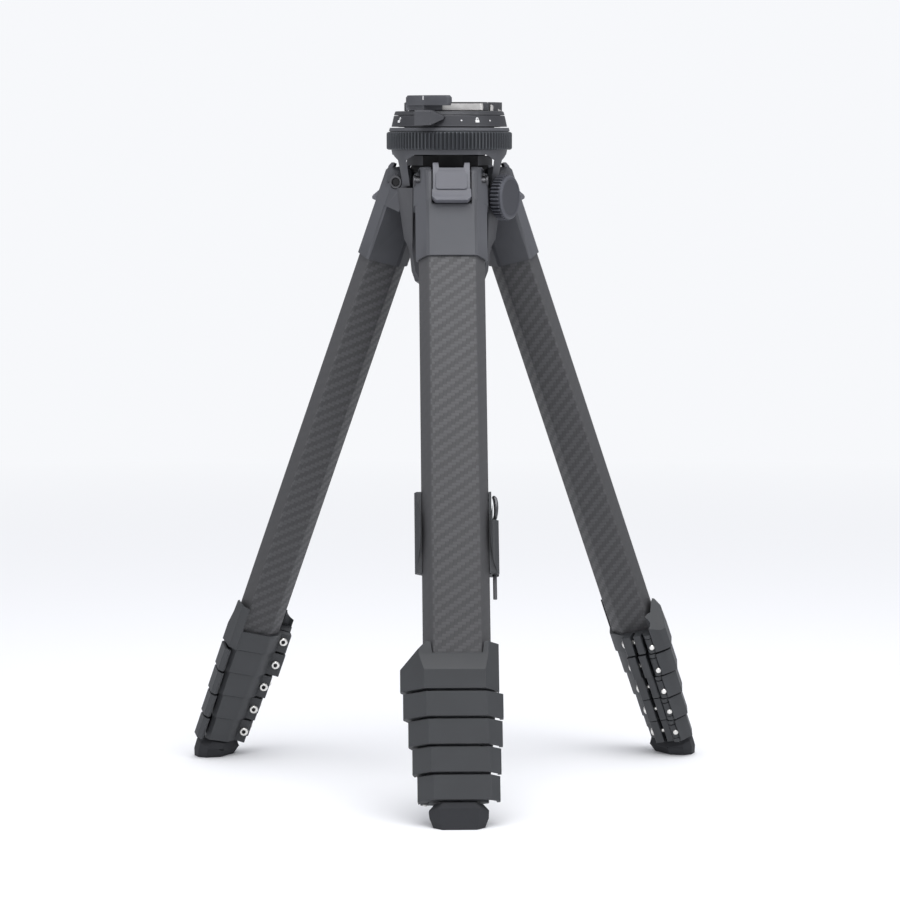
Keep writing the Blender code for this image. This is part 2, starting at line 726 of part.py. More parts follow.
# ---------------------------------------------------------------- tilting deck (tilt centre frame)
def dovetail_cut(side, bottom):
    """Room for the camera plate's edge, on the +x side (side 1) or the -x side (side -1)."""
    profile = [
        (10.0, bottom), (21.7, bottom), (21.7, 357.8), (20.0, 359.6), (20.0, 370.0), (10.0, 370.0),
    ]
    return prism([(side * x, z) for x, z in profile], -40.0, 40.0, "y")


def platform_mesh():
    """Truncated ball below, the lock ring's journal, a flange, and the fixed jaw on +x."""
    body = turned([(0, 339.0)] + on_ball(BALL_RADIUS, (339.0, 342.0, 345.0, 348.0)) + [
        (27.0, 348.0), (27.0, 354.3), (29.35, 354.3), (28.8, 356.0), (28.4, 356.3), (0, 356.3),
    ], 36)
    rim = arc(0, 0, 28.0, -34, 34, 8)
    jaw = prism([(18.6, rim[0][1])] + rim + [(18.6, rim[-1][1])], 355.0, PLATE_TOP)
    jaw = combine(jaw, [("DIFFERENCE", dovetail_cut(1, 356.35))])
    return lowered(combine(body, [("UNION", jaw)]), BALL_HEIGHT)


def moving_jaw_mesh():
    """Sliding dovetail jaw opposite the fixed one."""
    jaw = prism([
        (-18.6, 11.4), (-22.8, 11.4), (-23.7, 10.5), (-23.7, -10.5), (-22.8, -11.4), (-18.6, -11.4),
    ], 356.6, PLATE_TOP)
    return lowered(combine(jaw, [("DIFFERENCE", dovetail_cut(-1, 356.0))]), BALL_HEIGHT)


def plate_mesh():
    """Dovetail camera plate with cut corners."""
    def ring(x, y, cut, z):
        return [
            (-x, -y + cut, z), (-x + cut, -y, z), (x - cut, -y, z), (x, -y + cut, z),
            (x, y - cut, z), (x - cut, y, z), (-x + cut, y, z), (-x, y - cut, z),
        ]
    stations = (                 # half width, half depth, corner cut, height
        (21.3, 19.7, 5.2, 356.65), (21.3, 19.7, 5.2, 357.65), (19.6, 19.7, 3.6, 359.4),
        (19.6, 19.7, 3.6, 360.7), (19.3, 19.4, 3.4, PLATE_TOP),
    )
    return lowered(solid([ring(*station) for station in stations]), BALL_HEIGHT)


def clamp_lever_mesh():
    """Clamp lever about its upright pivot: a curved slab over a narrower web."""
    pivot_x, pivot_y = CLAMP_PIVOT
    boss = arc(pivot_x, pivot_y, 1.5, 40, 175, 4)
    inner_edge = [(-15.8, -20.3), (-19.6, -17.2)]
    slab_plan = boss + arc(0, 0, 29.3, 219, 266, 7) + [
        (-0.8, -28.4), (0.5, -26.6), (-2.5, -20.3)] + inner_edge
    web_plan = boss + arc(0, 0, 28.0, 221, 240, 4) + [
        (-9.0, -24.4), (-4.4, -23.6), (-4.4, -20.3)] + inner_edge

    def slab_ring(scale, z):
        """The slab's plan, scaled about a point near its middle."""
        return [
            (-12.0 + (x + 12.0) * scale - pivot_x, -24.0 + (y + 24.0) * scale - pivot_y, z)
            for x, y in slab_plan
        ]

    stations = ((0.95, 359.2), (1.0, 361.0), (1.0, 363.3), (0.92, 364.5))
    top = solid([slab_ring(scale, z) for scale, z in stations])
    web = prism(shifted(web_plan, -pivot_x, -pivot_y), 356.6, 360.0)
    return lowered(combine(top, [("UNION", web)]), BALL_HEIGHT)


def lock_ring_mesh():
    """Lock ring with a finger tab hooked over the flange, ramped at one end."""
    body = turned([
        (27.3, 348.2), (30.7, 348.2), (30.45, 349.2), (29.5, 353.6), (29.2, 354.0), (27.3, 354.0),
    ], 40)
    hook = [                     # radius, height
        (28.6, 352.7), (34.4, 352.7), (34.4, 348.8), (36.1, 348.8), (36.1, 355.8),
        (35.3, 356.6), (30.4, 356.6), (30.0, 354.1), (28.6, 353.8),
    ]
    ramp_end = [
        (28.0, 352.6), (30.0, 352.6), (30.1, 352.0), (30.7, 352.0), (30.5, 353.1),
        (30.1, 353.5), (29.7, 353.6), (29.0, 353.55), (28.0, 353.5),
    ]
    stations = ((-4.6, hook), (4.2, hook), (9.6, ramp_end))
    tab = solid([[(x, y, z) for y, z in outline] for x, outline in stations])
    tab.transform(upright_frame(LOCK_TAB_AZIMUTH))
    return lowered(combine(body, [("UNION", tab)]), BALL_HEIGHT)


# ---------------------------------------------------------------- build the head
place("hub", hub_mesh(), CASTING_GREY)
axis = link("column_axis")
place("center_column", column_mesh(), ANODISED, axis)
place("column_hook", hook_mesh(), STEEL, axis, smooth=40)
place("head_neck", neck_mesh(), CASTING_GREY, axis, smooth=30)
place("adjust_ring", adjust_ring_mesh(), ANODISED, axis, smooth=30)
pan_liner = liner_mesh(PAN_LINER_INNER, PAN_LINER_OUTER, 336.1, 341.2, PLATE_TOP)
place("pan_liner", pan_liner, POLYMER, axis, smooth=30)

tilt_centre = (0, 0, BALL_HEIGHT - PLATE_TOP)
tilt_liner = liner_mesh(TILT_LINER_INNER, TILT_LINER_OUTER, 338.2, 341.5, BALL_HEIGHT)
place("tilt_liner", tilt_liner, POLYMER, axis, tilt_centre, smooth=30)
platform = place("platform", platform_mesh(), CASTING_GREY, axis, tilt_centre, smooth=30)
place("lock_ring", lock_ring_mesh(), ANODISED, platform, smooth=30)
place("camera_plate", plate_mesh(), STEEL, platform)
place("moving_jaw", moving_jaw_mesh(), CASTING_GREY, platform)
place("clamp_lever", clamp_lever_mesh(), ANODISED, platform, (*CLAMP_PIVOT, 0))

knob_origin = (0, 0, KNOB_HEIGHT - PLATE_TOP)
knob = place("column_knob", knob_mesh(), ANODISED, origin=knob_origin, smooth=35)
knob.rotation_euler = (0, 0, radians(KNOB_AZIMUTH))


# ---------------------------------------------------------------- build the legs
def leg_frame(azimuth):
    """Matrix from a leg's frame to the world."""
    turn, tilt = radians(azimuth), radians(LEG_ANGLE)
    radial = Vector((cos(turn), sin(turn), 0))
    upward = Vector((0, 0, 1))
    across = upward.cross(radial)
    outwards = radial * cos(tilt) + upward * sin(tilt)
    down = radial * sin(tilt) - upward * cos(tilt)
    frame = Matrix((across, outwards, down)).transposed().to_4x4()
    pivot = radial * PIVOT_RADIUS + upward * (PIVOT_HEIGHT - PLATE_TOP)
    frame.translation = pivot * MILLIMETRE
    return frame


# the legs share their meshes
casting, latch, bolt, foot = casting_mesh(), latch_mesh(), bolt_mesh(), foot_mesh()
sections = [section_mesh(i) for i in range(TUBE_COUNT)]
levers = [lever_mesh(i) for i in range(len(LOCKS))]

for number, azimuth in enumerate(LEG_AZIMUTHS, 1):
    name = "leg_%d_" % number
    hinge = link(name + "hinge")
    hinge.matrix_world = leg_frame(azimuth)
    place(name + "top_casting", casting, CASTING_GREY, hinge)
    place(name + "pivot_bolt", bolt, STEEL, hinge, smooth=35)
    place(name + "angle_latch", latch, PLASTIC, hinge, (0, LATCH_OUT, 0))
    for i, mesh in enumerate(sections, 1):
        place(name + "section_%d" % i, mesh, CARBON, hinge)
    for i, (mesh, lock) in enumerate(zip(levers, LOCKS), 1):
        pin = (lock.hinge_across, lock.hinge_out + TUBE_OFFSET, 0)
        place(name + "lever_%d" % i, mesh, PLASTIC, hinge, pin)
    place(name + "foot", foot, RUBBER, hinge)
    if number == 1:
        place("tool_holder", holder_mesh(), PLASTIC, hinge)
        place("hex_key", key_mesh(), STEEL, hinge, KEY_ORIGIN, smooth=40)
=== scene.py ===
"""Looks of a travel tripod: three legs of nested tubes, hub, column, levelling head, studio.

The part's frame has its origin on the head's axis at the top face of the camera plate,
+Z up; the first leg and the camera are towards -Y. Lengths are in millimetres, and MM
turns them into metres. Heights h are measured from the ground up.
A leg's frame has its origin on the hinge axis: t (x) across the leg, n (y) outwards,
which is the leg's front, and s (z) down the leg. Left is -t and right is +t.
"""

import json
from functools import partial
from math import atan2, cos, hypot, pi, radians, sin, sqrt
from typing import NamedTuple

import bmesh
import bpy
from mathutils import Matrix, Vector

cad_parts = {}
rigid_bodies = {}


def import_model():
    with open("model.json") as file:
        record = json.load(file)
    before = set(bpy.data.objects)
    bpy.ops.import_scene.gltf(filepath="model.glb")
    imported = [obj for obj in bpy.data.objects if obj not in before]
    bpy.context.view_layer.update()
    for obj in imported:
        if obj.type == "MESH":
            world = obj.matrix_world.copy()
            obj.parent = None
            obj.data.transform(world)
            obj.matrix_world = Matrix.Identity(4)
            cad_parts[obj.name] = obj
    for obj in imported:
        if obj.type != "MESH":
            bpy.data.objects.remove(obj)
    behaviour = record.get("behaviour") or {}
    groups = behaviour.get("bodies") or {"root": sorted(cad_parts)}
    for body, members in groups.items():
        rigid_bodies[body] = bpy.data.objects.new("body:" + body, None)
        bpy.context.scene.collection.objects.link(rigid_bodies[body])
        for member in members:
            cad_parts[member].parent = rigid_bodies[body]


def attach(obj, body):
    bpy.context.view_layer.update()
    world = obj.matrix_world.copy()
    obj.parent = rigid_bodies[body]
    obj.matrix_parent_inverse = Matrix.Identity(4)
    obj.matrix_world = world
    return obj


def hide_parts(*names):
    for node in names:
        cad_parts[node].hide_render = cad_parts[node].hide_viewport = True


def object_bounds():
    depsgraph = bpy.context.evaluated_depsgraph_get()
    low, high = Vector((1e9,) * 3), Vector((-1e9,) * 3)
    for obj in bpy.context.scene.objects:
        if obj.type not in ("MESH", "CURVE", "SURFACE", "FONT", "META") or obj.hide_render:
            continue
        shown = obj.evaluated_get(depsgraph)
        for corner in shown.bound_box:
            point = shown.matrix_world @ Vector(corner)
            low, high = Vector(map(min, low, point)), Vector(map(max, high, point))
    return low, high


for old in list(bpy.data.objects):
    bpy.data.objects.remove(old, do_unlink=True)

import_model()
CAD_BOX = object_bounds()

MM = 0.001
GAP = 0.3                      # clearance between neighbouring pieces

# overall
PLATE_TOP = 361.0              # camera plate's top face above the ground
LEG_AZIMUTHS = (-90.0, 30.0, 150.0)
LEG_ANGLE = 21.4               # leg from the vertical
PIVOT_R, PIVOT_H = 21.8, 319.0
PIVOT_BORE = 3.35
TUBE_OFFSET = 1.5              # tube centre line outboard of the hinge axis

# leg tubes: a flattened hexagon, nested six deep; index 0 is the outermost
TUBE_BACK = -10.8
TUBE_HEX = (                   # (t, n) from the tube centre line, from the front left corner
    (-12.3, 9.05), (-17.8, 0.0), (-4.8, TUBE_BACK),
    (4.8, TUBE_BACK), (17.8, 0.0), (12.3, 9.05),
)
TUBE_COUNT = 6
TUBE_WALL = 0.8
TUBE_STEP = TUBE_WALL + GAP
TUBE_TOP = 30.3                # top of the outer tube, inside the top casting
CASTING_END = 44.6
BOLT_HEAD_T = 18.2             # where the bolt's caps start, either side
LATCH_N = 10.0                 # latch hinge outboard of the leg's hinge
FOOT_S = 332.0

# leg locks
LEVER_THICK = 2.0
BAND_THICK = 1.6               # collar behind the tube
SLIT_HALF = 0.95
SCREW_R, SCREW_H, SOCKET_R = 2.45, 1.2, 1.25
SOCKET_FLOOR = 0.12

# head
BALL_H = 350.0                 # tilt centre
COLUMN_FLAT, COLUMN_LOBE = 9.3, 15.5
COLUMN_BOTTOM, COLUMN_TOP = 104.0, 333.1
KNOB_AZIMUTH, KNOB_H = -30.0, 311.0
LOCK_CONE = ((30.45, 349.2), (29.5, 353.6))    # lock ring's sloping face, (radius, h)
LOCK_TAB_AZIMUTH = -114.7
RING_BORE, RING_LIP = 31.8, 30.9               # adjusting ring's inner radii
RING_TIP, RING_ROOT = 33.3, 32.45              # and those of its flutes
RING_LOW, RING_HIGH = 336.0, 345.5
CLAMP_PIVOT = (-21.9, -17.2)

ADD, CUT, KEEP = "UNION", "DIFFERENCE", "INTERSECT"


class Lock(NamedTuple):
    """Lever lock at the foot of tube `index`; t and n are from the tube centre line."""
    index: int
    collar: tuple              # s range
    lever: tuple               # s range
    front: float               # n of the lever's front face
    left: float                # t of the lever's ends
    right: float
    hinge: tuple               # (t, n) of the lever's hinge
    ear_shift: float           # slit along the back left side, from its middle
    ear_out: float             # how far the ears stand out
    band_side: float           # half the collar's width
    channel_drop: float        # rod channel below the clamp screw
    screw_out: float           # clamp screw's axis out of the back left side

    @property
    def front_half(self):
        return 12.6 - 0.9 * self.index

    @property
    def back(self):
        return TUBE_BACK + TUBE_STEP * self.index - BAND_THICK

    @property
    def leg_hinge(self):
        """Hinge in the leg's frame."""
        return self.hinge[0], self.hinge[1] + TUBE_OFFSET

    @property
    def screw_s(self):
        return self.collar[1] - 6.4

    @property
    def channel_s(self):
        return self.screw_s + self.channel_drop


# columns as the fields of Lock after index
LOCK_ROWS = (
    ((264.2, 275.0), (250.3, 274.9), 11.5, -28.8, 20.2, (-22.5, -6.0), 1.65, 6.0, 19.9, 3.0, 2.5),
    ((276.0, 289.0), (276.2, 288.9), 10.9, -27.4, 23.0, (-21.3, -5.9), 2.0, 7.2, 18.7, 3.2, 3.3),
    ((290.0, 303.0), (290.2, 302.9), 10.0, -24.9, 22.4, (-19.6, -5.7), 2.4, 4.9, 17.5, 2.4, 1.9),
    ((304.0, 317.0), (304.2, 316.9), 9.0, -23.0, 21.5, (-18.2, -5.4), 2.75, 4.3, 16.3, 1.4, 1.5),
    ((318.0, 331.0), (318.2, 330.9), 8.1, -20.6, 20.8, (-16.7, -5.0), 3.1, 3.6, 15.1, 0.6, 1.2),
)
LOCKS = [Lock(index, *row) for index, row in enumerate(LOCK_ROWS)]


# ================================================================ outlines
def rect(x0, x1, y0, y1):
    return [(x0, y0), (x1, y0), (x1, y1), (x0, y1)]


def arc(cx, cy, radius, start, end, steps):
    """Points on an arc, angles in degrees."""
    angles = [radians(start + (end - start) * i / steps) for i in range(steps + 1)]
    return [(cx + radius * cos(a), cy + radius * sin(a)) for a in angles]


def bore_outline(radius, cx=0, cy=0):
    """Full circle of 16 points."""
    return arc(cx, cy, radius, 0, 337.5, 15)


def circle(radius, z, sides):
    angles = [2 * pi * i / sides for i in range(sides)]
    return [(radius * cos(a), radius * sin(a), z) for a in angles]


def at_height(poly, z):
    return [(x, y, z) for x, y in poly]


def relative(poly, origin):
    return [(x - origin[0], y - origin[1]) for x, y in poly]


def lifted(poly):
    """From the tube centre line's frame to the leg's frame."""
    return [(t, n + TUBE_OFFSET) for t, n in poly]


def on_ball(radius, h):
    """Point (radius, height) of a sphere about the tilt centre."""
    return sqrt(radius * radius - (h - BALL_H) ** 2), h


def inset(poly, depth):
    """Move every side of a convex outline inwards by depth (outwards when negative)."""
    following = poly[1:] + poly[:1]
    area = sum(a[0] * b[1] - b[0] * a[1] for a, b in zip(poly, following))
    turn = 1.0 if area > 0 else -1.0

    def normal(a, b):
        x, y = b[0] - a[0], b[1] - a[1]
        length = sqrt(x * x + y * y)
        return -y / length * turn, x / length * turn

    out = []
    for before, corner, after in zip(poly[-1:] + poly[:-1], poly, following):
        one, two = normal(before, corner), normal(corner, after)
        scale = depth / (1.0 + one[0] * two[0] + one[1] * two[1])
        out.append((corner[0] + (one[0] + two[0]) * scale, corner[1] + (one[1] + two[1]) * scale))
    return out


def eased(poly, cut):
    """Replace each corner by a short chamfer of length cut along both sides."""
    out = []
    for i in range(len(poly)):
        before, corner, after = (Vector(poly[j % len(poly)]) for j in (i - 1, i, i + 1))
        out.append(tuple(corner + (before - corner).normalized() * cut))
        out.append(tuple(corner + (after - corner).normalized() * cut))
    return out


def rounded(poly, radius, steps):
    """Round every corner of an outline with an arc, smaller where the sides are short."""
    out = []
    for i in range(len(poly)):
        before, corner, after = (Vector(poly[j % len(poly)]) for j in (i - 1, i, i + 1))
        to_before, to_after = (before - corner).normalized(), (after - corner).normalized()
        half = to_before.angle(to_after) / 2
        shortest = min((before - corner).length, (after - corner).length)
        r = min(radius, 0.42 * shortest * abs(sin(half) / cos(half)))
        reach = r * cos(half) / sin(half)
        centre = corner + (to_before + to_after).normalized() * (r / sin(half))
        first, last = corner + to_before * reach, corner + to_after * reach
        start = atan2(first.y - centre.y, first.x - centre.x)
        end = atan2(last.y - centre.y, last.x - centre.x)
        while end - start > pi:
            end -= 2 * pi
        while end - start < -pi:
            end += 2 * pi
        for j in range(steps + 1):
            angle = start + (end - start) * j / steps
            out.append((centre.x + r * cos(angle), centre.y + r * sin(angle)))
    return out


def tube_outline(index, extra=0.0):
    """Outline of a leg tube in the leg's frame; extra grows it."""
    return lifted(eased(inset(TUBE_HEX, TUBE_STEP * index - extra), 1.3 - 0.2 * index))


# ================================================================ solids
def outward(bm):
    """Point every face of one closed body outwards."""
    bmesh.ops.recalc_face_normals(bm, faces=bm.faces)
    if bm.calc_volume(signed=True) < 0:
        bmesh.ops.reverse_faces(bm, faces=bm.faces)


def finished(bm, name):
    outward(bm)
    mesh = bpy.data.meshes.new(name)
    bm.to_mesh(mesh)
    bm.free()
    return mesh


def solid(rings, closed=False):
    """Skin rings of equal count; closed joins the last to the first, else both ends are capped."""
    bm = bmesh.new()
    rows = [[bm.verts.new(Vector(p) * MM) for p in ring] for ring in rings]
    pairs = list(zip(rows, rows[1:])) + ([(rows[-1], rows[0])] if closed else [])
    for a, b in pairs:
        for i in range(len(a)):
            j = (i + 1) % len(a)
            bm.faces.new((a[i], a[j], b[j], b[i]))
    if not closed:
        bm.faces.new(rows[0])
        bm.faces.new(rows[-1])
    return finished(bm, "shape")


def prism(poly, lo, hi, along="z"):
    """Extrude an outline: (x, y) along z, (y, z) along x, or (x, z) along y."""
    put = {
        "x": lambda p, c: (c, p[0], p[1]),
        "y": lambda p, c: (p[0], c, p[1]),
        "z": lambda p, c: (p[0], p[1], c),
    }[along]
    return solid([[put(p, lo) for p in poly], [put(p, hi) for p in poly]])


def turned(profile, sides):
    """Spin a closed (radius, height) outline about Z; points on the axis close the shape."""
    bm = bmesh.new()
    columns = []
    for radius, height in profile:
        if radius < 1e-6:
            columns.append([bm.verts.new((0, 0, height * MM))])
            continue
        angles = [2 * pi * i / sides for i in range(sides)]
        columns.append([
            bm.verts.new((radius * MM * cos(a), radius * MM * sin(a), height * MM)) for a in angles
        ])
    for a, b in zip(columns, columns[1:] + columns[:1]):
        if len(a) == 1 and len(b) == 1:
            continue
        for i in range(sides):
            j = (i + 1) % sides
            face = [a[0]] if len(a) == 1 else [a[i], a[j]]
            face += [b[0]] if len(b) == 1 else [b[j], b[i]]
            bm.faces.new(face)
    return finished(bm, "turned")


def wire(path, radius, sides, axes):
    """Round wire along a path; axes(direction) gives the two axes of its section."""
    rings = []
    for i, point in enumerate(path):
        ahead, behind = path[min(i + 1, len(path) - 1)], path[max(i - 1, 0)]
        x, y = axes((ahead - behind).normalized())
        angles = [2 * pi * j / sides for j in range(sides)]
        rings.append([point + x * radius * cos(a) + y * radius * sin(a) for a in angles])
    return solid(rings)


def combine(base, *steps):
    """Run Boolean steps, each (operation, mesh), on base and return the cleaned mesh."""
    ob = bpy.data.objects.new("work", base)
    bpy.context.scene.collection.objects.link(ob)
    tools = []
    for i, (operation, mesh) in enumerate(steps):
        tool = bpy.data.objects.new("cutter", mesh)
        bpy.context.scene.collection.objects.link(tool)
        mod = ob.modifiers.new("step_%d" % i, "BOOLEAN")
        mod.operation = operation
        mod.solver = "EXACT"
        mod.object = tool
        tools.append(tool)
    bpy.context.view_layer.update()
    graph = bpy.context.evaluated_depsgraph_get()
    result = bpy.data.meshes.new_from_object(ob.evaluated_get(graph))
    for used in [ob] + tools:
        bpy.data.objects.remove(used, do_unlink=True)
    result.materials.clear()
    bm = bmesh.new()
    bm.from_mesh(result)
    bmesh.ops.remove_doubles(bm, verts=bm.verts, dist=0.00002)
    bmesh.ops.dissolve_degenerate(bm, edges=bm.edges, dist=0.00001)
    bmesh.ops.dissolve_limit(bm, angle_limit=radians(0.5), verts=bm.verts, edges=bm.edges)
    bm.to_mesh(result)
    bm.free()
    return result


def cut(base, *tools):
    return combine(base, *[(CUT, tool) for tool in tools])


def from_ground(mesh):
    """From heights above the ground to the part's frame."""
    mesh.transform(Matrix.Translation((0, 0, -PLATE_TOP * MM)))
    return mesh


def across(azimuth):
    """Matrix from an upright frame (x across, y outwards, z up) to the world; it mirrors."""
    a = radians(azimuth)
    return Matrix(((-sin(a), cos(a), 0, 0), (cos(a), sin(a), 0, 0), (0, 0, 1, 0), (0, 0, 0, 1)))


def upright(poly, lo, hi, azimuth, along="y"):
    """Prism in the upright frame at an azimuth."""
    mesh = prism(poly, lo, hi, along)
    mesh.transform(across(azimuth))
    bm = bmesh.new()
    bm.from_mesh(mesh)
    outward(bm)
    bm.to_mesh(mesh)
    bm.free()
    return mesh


# ================================================================ leg top (leg frame)
def casting_mesh():
    """Fork casting: two cheeks on the hinge bolt, a front opening, a sleeve round the tube."""
    lower = lifted(eased((
        (-13.0, 10.25), (-19.4, 0.0), (-5.4, -12.1), (5.4, -12.1), (19.4, 0.0), (13.0, 10.25),
    ), 1.2))
    upper = eased((
        (-12.8, 11.75), (-19.6, 1.5), (-19.6, -8.3), (19.6, -8.3), (19.6, 1.5), (12.8, 11.75),
    ), 0.8)
    side = arc(0, 0, 8.3, 180, 310, 9) + [      # (n, s)
        (9.4, -4.7), (11.9, -1.6), (12.4, 60), (-11, 60), (-11, 13.5), (-8.3, 9.5),
    ]
    face = [                                    # (t, s)
        (-25, 60), (-25, -1.6), (-19.6, -3.2), (-16.5, -5.6), (-11.0, -8.6),
        (11.0, -8.6), (16.5, -5.6), (19.6, -3.2), (25, -1.6), (25, 60),
    ]
    body = combine(
        prism(upper, -9.0, 14.0),
        (ADD, prism(lower, 13.0, CASTING_END)),
        (KEEP, prism(side, -25, 25, "x")),
        (KEEP, prism(face, -25, 25, "y")),
    )
    fork = [(-30.0, -30.0), (7.9, -30.0), (7.9, 8.0), (6.4, 9.6), (-30.0, 9.6)]
    bolt_head = bore_outline(3.95)
    body = cut(
        body,
        prism(fork, -11.0, 11.0, "x"),
        prism(tube_outline(0, GAP), TUBE_TOP - GAP, 60.0),
        prism(rect(-10.55, 10.55, -12.0, 16.4), 9.0, 20.0, "y"),
        prism(rect(-10.55, 10.55, -12.0, 0.9), 7.0, 20.0, "y"),
        prism(bore_outline(PIVOT_BORE), -25.0, 25.0, "x"),
        prism(bolt_head, 18.0, 25.0, "x"),
        prism(bolt_head, -25.0, -18.0, "x"),
    )
    for side in (-1, 1):
        window = [(16.0, -5.0), (18.7, -5.0), (18.7, 1.2), (17.3, 2.6), (16.0, 2.6)]
        body = cut(body, prism([(side * t, s) for t, s in window], 1.2, 16.0, "y"))
    return body


def latch_mesh():
    """Leg angle latch: a plate with a lip at its foot, about its hinge at s 0, n 10."""
    side = [                                    # (n, s)
        (9.3, -6.8), (11.2, -6.8), (12.3, -4.4), (12.4, 9.0),
        (15.9, 14.6), (15.9, 15.9), (12.0, 16.1), (9.3, 14.0),
    ]
    face = [                                    # (t, s)
        (-10.25, -8.0), (10.25, -8.0), (10.25, 13.4), (7.9, 16.6), (-7.9, 16.6), (-10.25, 13.4),
    ]
    notch = [(-7.0, -9.0), (7.0, -9.0), (6.4, -3.6), (-6.4, -3.6)]
    plate = prism([(n - LATCH_N, s) for n, s in side], -10.25, 10.25, "x")
    plate = combine(plate, (KEEP, prism(face, -5.0, 10.0, "y")))
    plate = cut(plate, prism(notch, -5.0, 10.0, "y"))
    return cut(plate, *[
        prism(rect(sign * 9.7, sign * 12.0, -9.0, 8.4), -5.0, 10.0, "y") for sign in (-1, 1)
    ])


def latch_panel_mesh():
    """Raised panel with round corners on the latch's front."""
    return prism(rounded(rect(-8.3, 8.3, -1.0, 8.7), 1.6, 4), 1.9, 3.05, "y")


def tube_mesh(index):
    """Leg tube with rounded corners; UV maps: laminate in millimetres, zone x as weave strength."""
    top = TUBE_TOP + (0.0 if index == 0 else 1.7 + 2.0 * (index - 1))
    end = LOCKS[index].collar[1] - 1.0 if index < len(LOCKS) else FOOT_S - GAP
    shrink = TUBE_STEP * index
    outer = lifted(rounded(inset(TUBE_HEX, shrink), max(1.9 - 0.2 * index, 0.8), 4))
    inner = lifted(rounded(inset(TUBE_HEX, shrink + TUBE_WALL), max(1.2 - 0.2 * index, 0.4), 4))
    eased_end = [(t * 0.992, (n - TUBE_OFFSET) * 0.992 + TUBE_OFFSET) for t, n in outer]
    stations = [top, top + 0.3] + [top + (end - top) * i / 12 for i in range(1, 12)]
    stations += [end - 0.3, end]

    bm = bmesh.new()
    laminate = bm.loops.layers.uv.new("laminate")
    zone = bm.loops.layers.uv.new("zone")

    def ring_verts(poly, s):
        return [bm.verts.new(Vector((t, n, s)) * MM) for t, n in poly]

    count = len(outer)
    sides = [Vector(outer[(i + 1) % count]) - Vector(outer[i]) for i in range(count)]
    run = [0.0]                                 # length round the tube at each corner
    for side in sides:
        run.append(run[-1] + side.length)
    rows = [ring_verts(eased_end if s in (top, end) else outer, s) for s in stations]
    for a, b, s0, s1 in zip(rows, rows[1:], stations, stations[1:]):
        for i in range(count):
            j = (i + 1) % count
            face = bm.faces.new((a[i], a[j], b[j], b[i]))
            # the weave is faint on the two sloping front sides
            middle_n = (Vector(outer[j]) + Vector(outer[i])).y / 2
            slope = abs(sides[i].y) / max(sides[i].length, 1e-6)
            woven = 0.12 if middle_n > TUBE_OFFSET and slope > 0.5 else 1.0
            for loop, place in zip(face.loops, rect(run[i], run[i + 1], s0, s1)):
                loop[zone].uv = (woven, 0.0)
                loop[laminate].uv = place
    inner_top, inner_end = ring_verts(inner, top), ring_verts(inner, end)
    for i in range(count):
        j = (i + 1) % count
        bm.faces.new((inner_end[i], inner_end[j], inner_top[j], inner_top[i]))
        bm.faces.new((rows[0][j], rows[0][i], inner_top[i], inner_top[j]))
        bm.faces.new((rows[-1][i], rows[-1][j], inner_end[j], inner_end[i]))
    return finished(bm, "tube_%d" % (index + 1))


def foot_mesh():
    """Foot with its sole flat on the ground; in the leg's frame."""
    lean = radians(LEG_ANGLE)
    base = [
        (-10.0, 8.6), (-15.0, 3.0), (-15.0, -2.6), (-8.4, -8.6),
        (8.4, -8.6), (15.0, -2.6), (15.0, 3.0), (10.0, 8.6),
    ]

    def grown(factor):
        return lifted([(t * factor, n * factor) for t, n in base])

    def above_ground(n, height):
        return (PIVOT_H - height + n * sin(lean)) / cos(lean)

    return solid([
        at_height(grown(0.80), FOOT_S),
        at_height(grown(1.0), FOOT_S + 3.4),
        [(t, n, above_ground(n, 4.6)) for t, n in grown(0.985)],
        [(t, n, above_ground(n, 0.0)) for t, n in grown(0.86)],
    ])


# ================================================================ leg locks (leg frame)
def back_left(lock):
    """Collar's back left side: its middle, directions along and out of it, half its length."""
    start, end = Vector((-lock.band_side, -1.6)), Vector((-6.4, lock.back + 0.6))
    along = (end - start).normalized()
    middle = (start + end) / 2 + Vector((0, TUBE_OFFSET))
    return middle, along, Vector((along.y, -along.x)), (end - start).length / 2


def on_back_left(lock, points):
    """Points (along, out) of the back left side, as (t, n)."""
    middle, along, out, _ = back_left(lock)
    return [tuple(middle + along * q + out * p) for q, p in points]


def strip(lock, q0, q1, p0, p1):
    return on_back_left(lock, [(q0, p0), (q0, p1), (q1, p1), (q1, p0)])


def band_outline(lock):
    """Hexagonal band round the tube."""
    front = lock.front - LEVER_THICK - GAP
    half, side, back = lock.front_half, lock.band_side, lock.back
    return lifted([
        (-half, front), (-half - 2.2, front - 1.6), (-side, 1.2), (-side, -1.6),
        (-6.4, back + 0.6), (-5.0, back), (5.0, back), (6.4, back + 0.6),
        (side, -1.6), (side, 1.2), (half + 2.2, front - 1.6), (half, front),
    ])


def ear_outlines(lock):
    """Two clamping ears on the back left side, either side of the slit."""
    q, p = lock.ear_shift, lock.ear_out
    near = [
        (q - 5.3, -1.2), (q - 5.3, p - 0.5), (q - 4.8, p), (q - 1.3, p),
        (q - SLIT_HALF, p - 0.35), (q - SLIT_HALF, -1.2),
    ]
    far = [
        (q + SLIT_HALF, -1.2), (q + SLIT_HALF, p - 0.35), (q + 1.3, p), (q + 5.4, p),
        (q + 5.9, p - 0.5), (q + 5.9, -4.5), (q + 3.5, -4.5),
    ]
    return on_back_left(lock, near), on_back_left(lock, far)


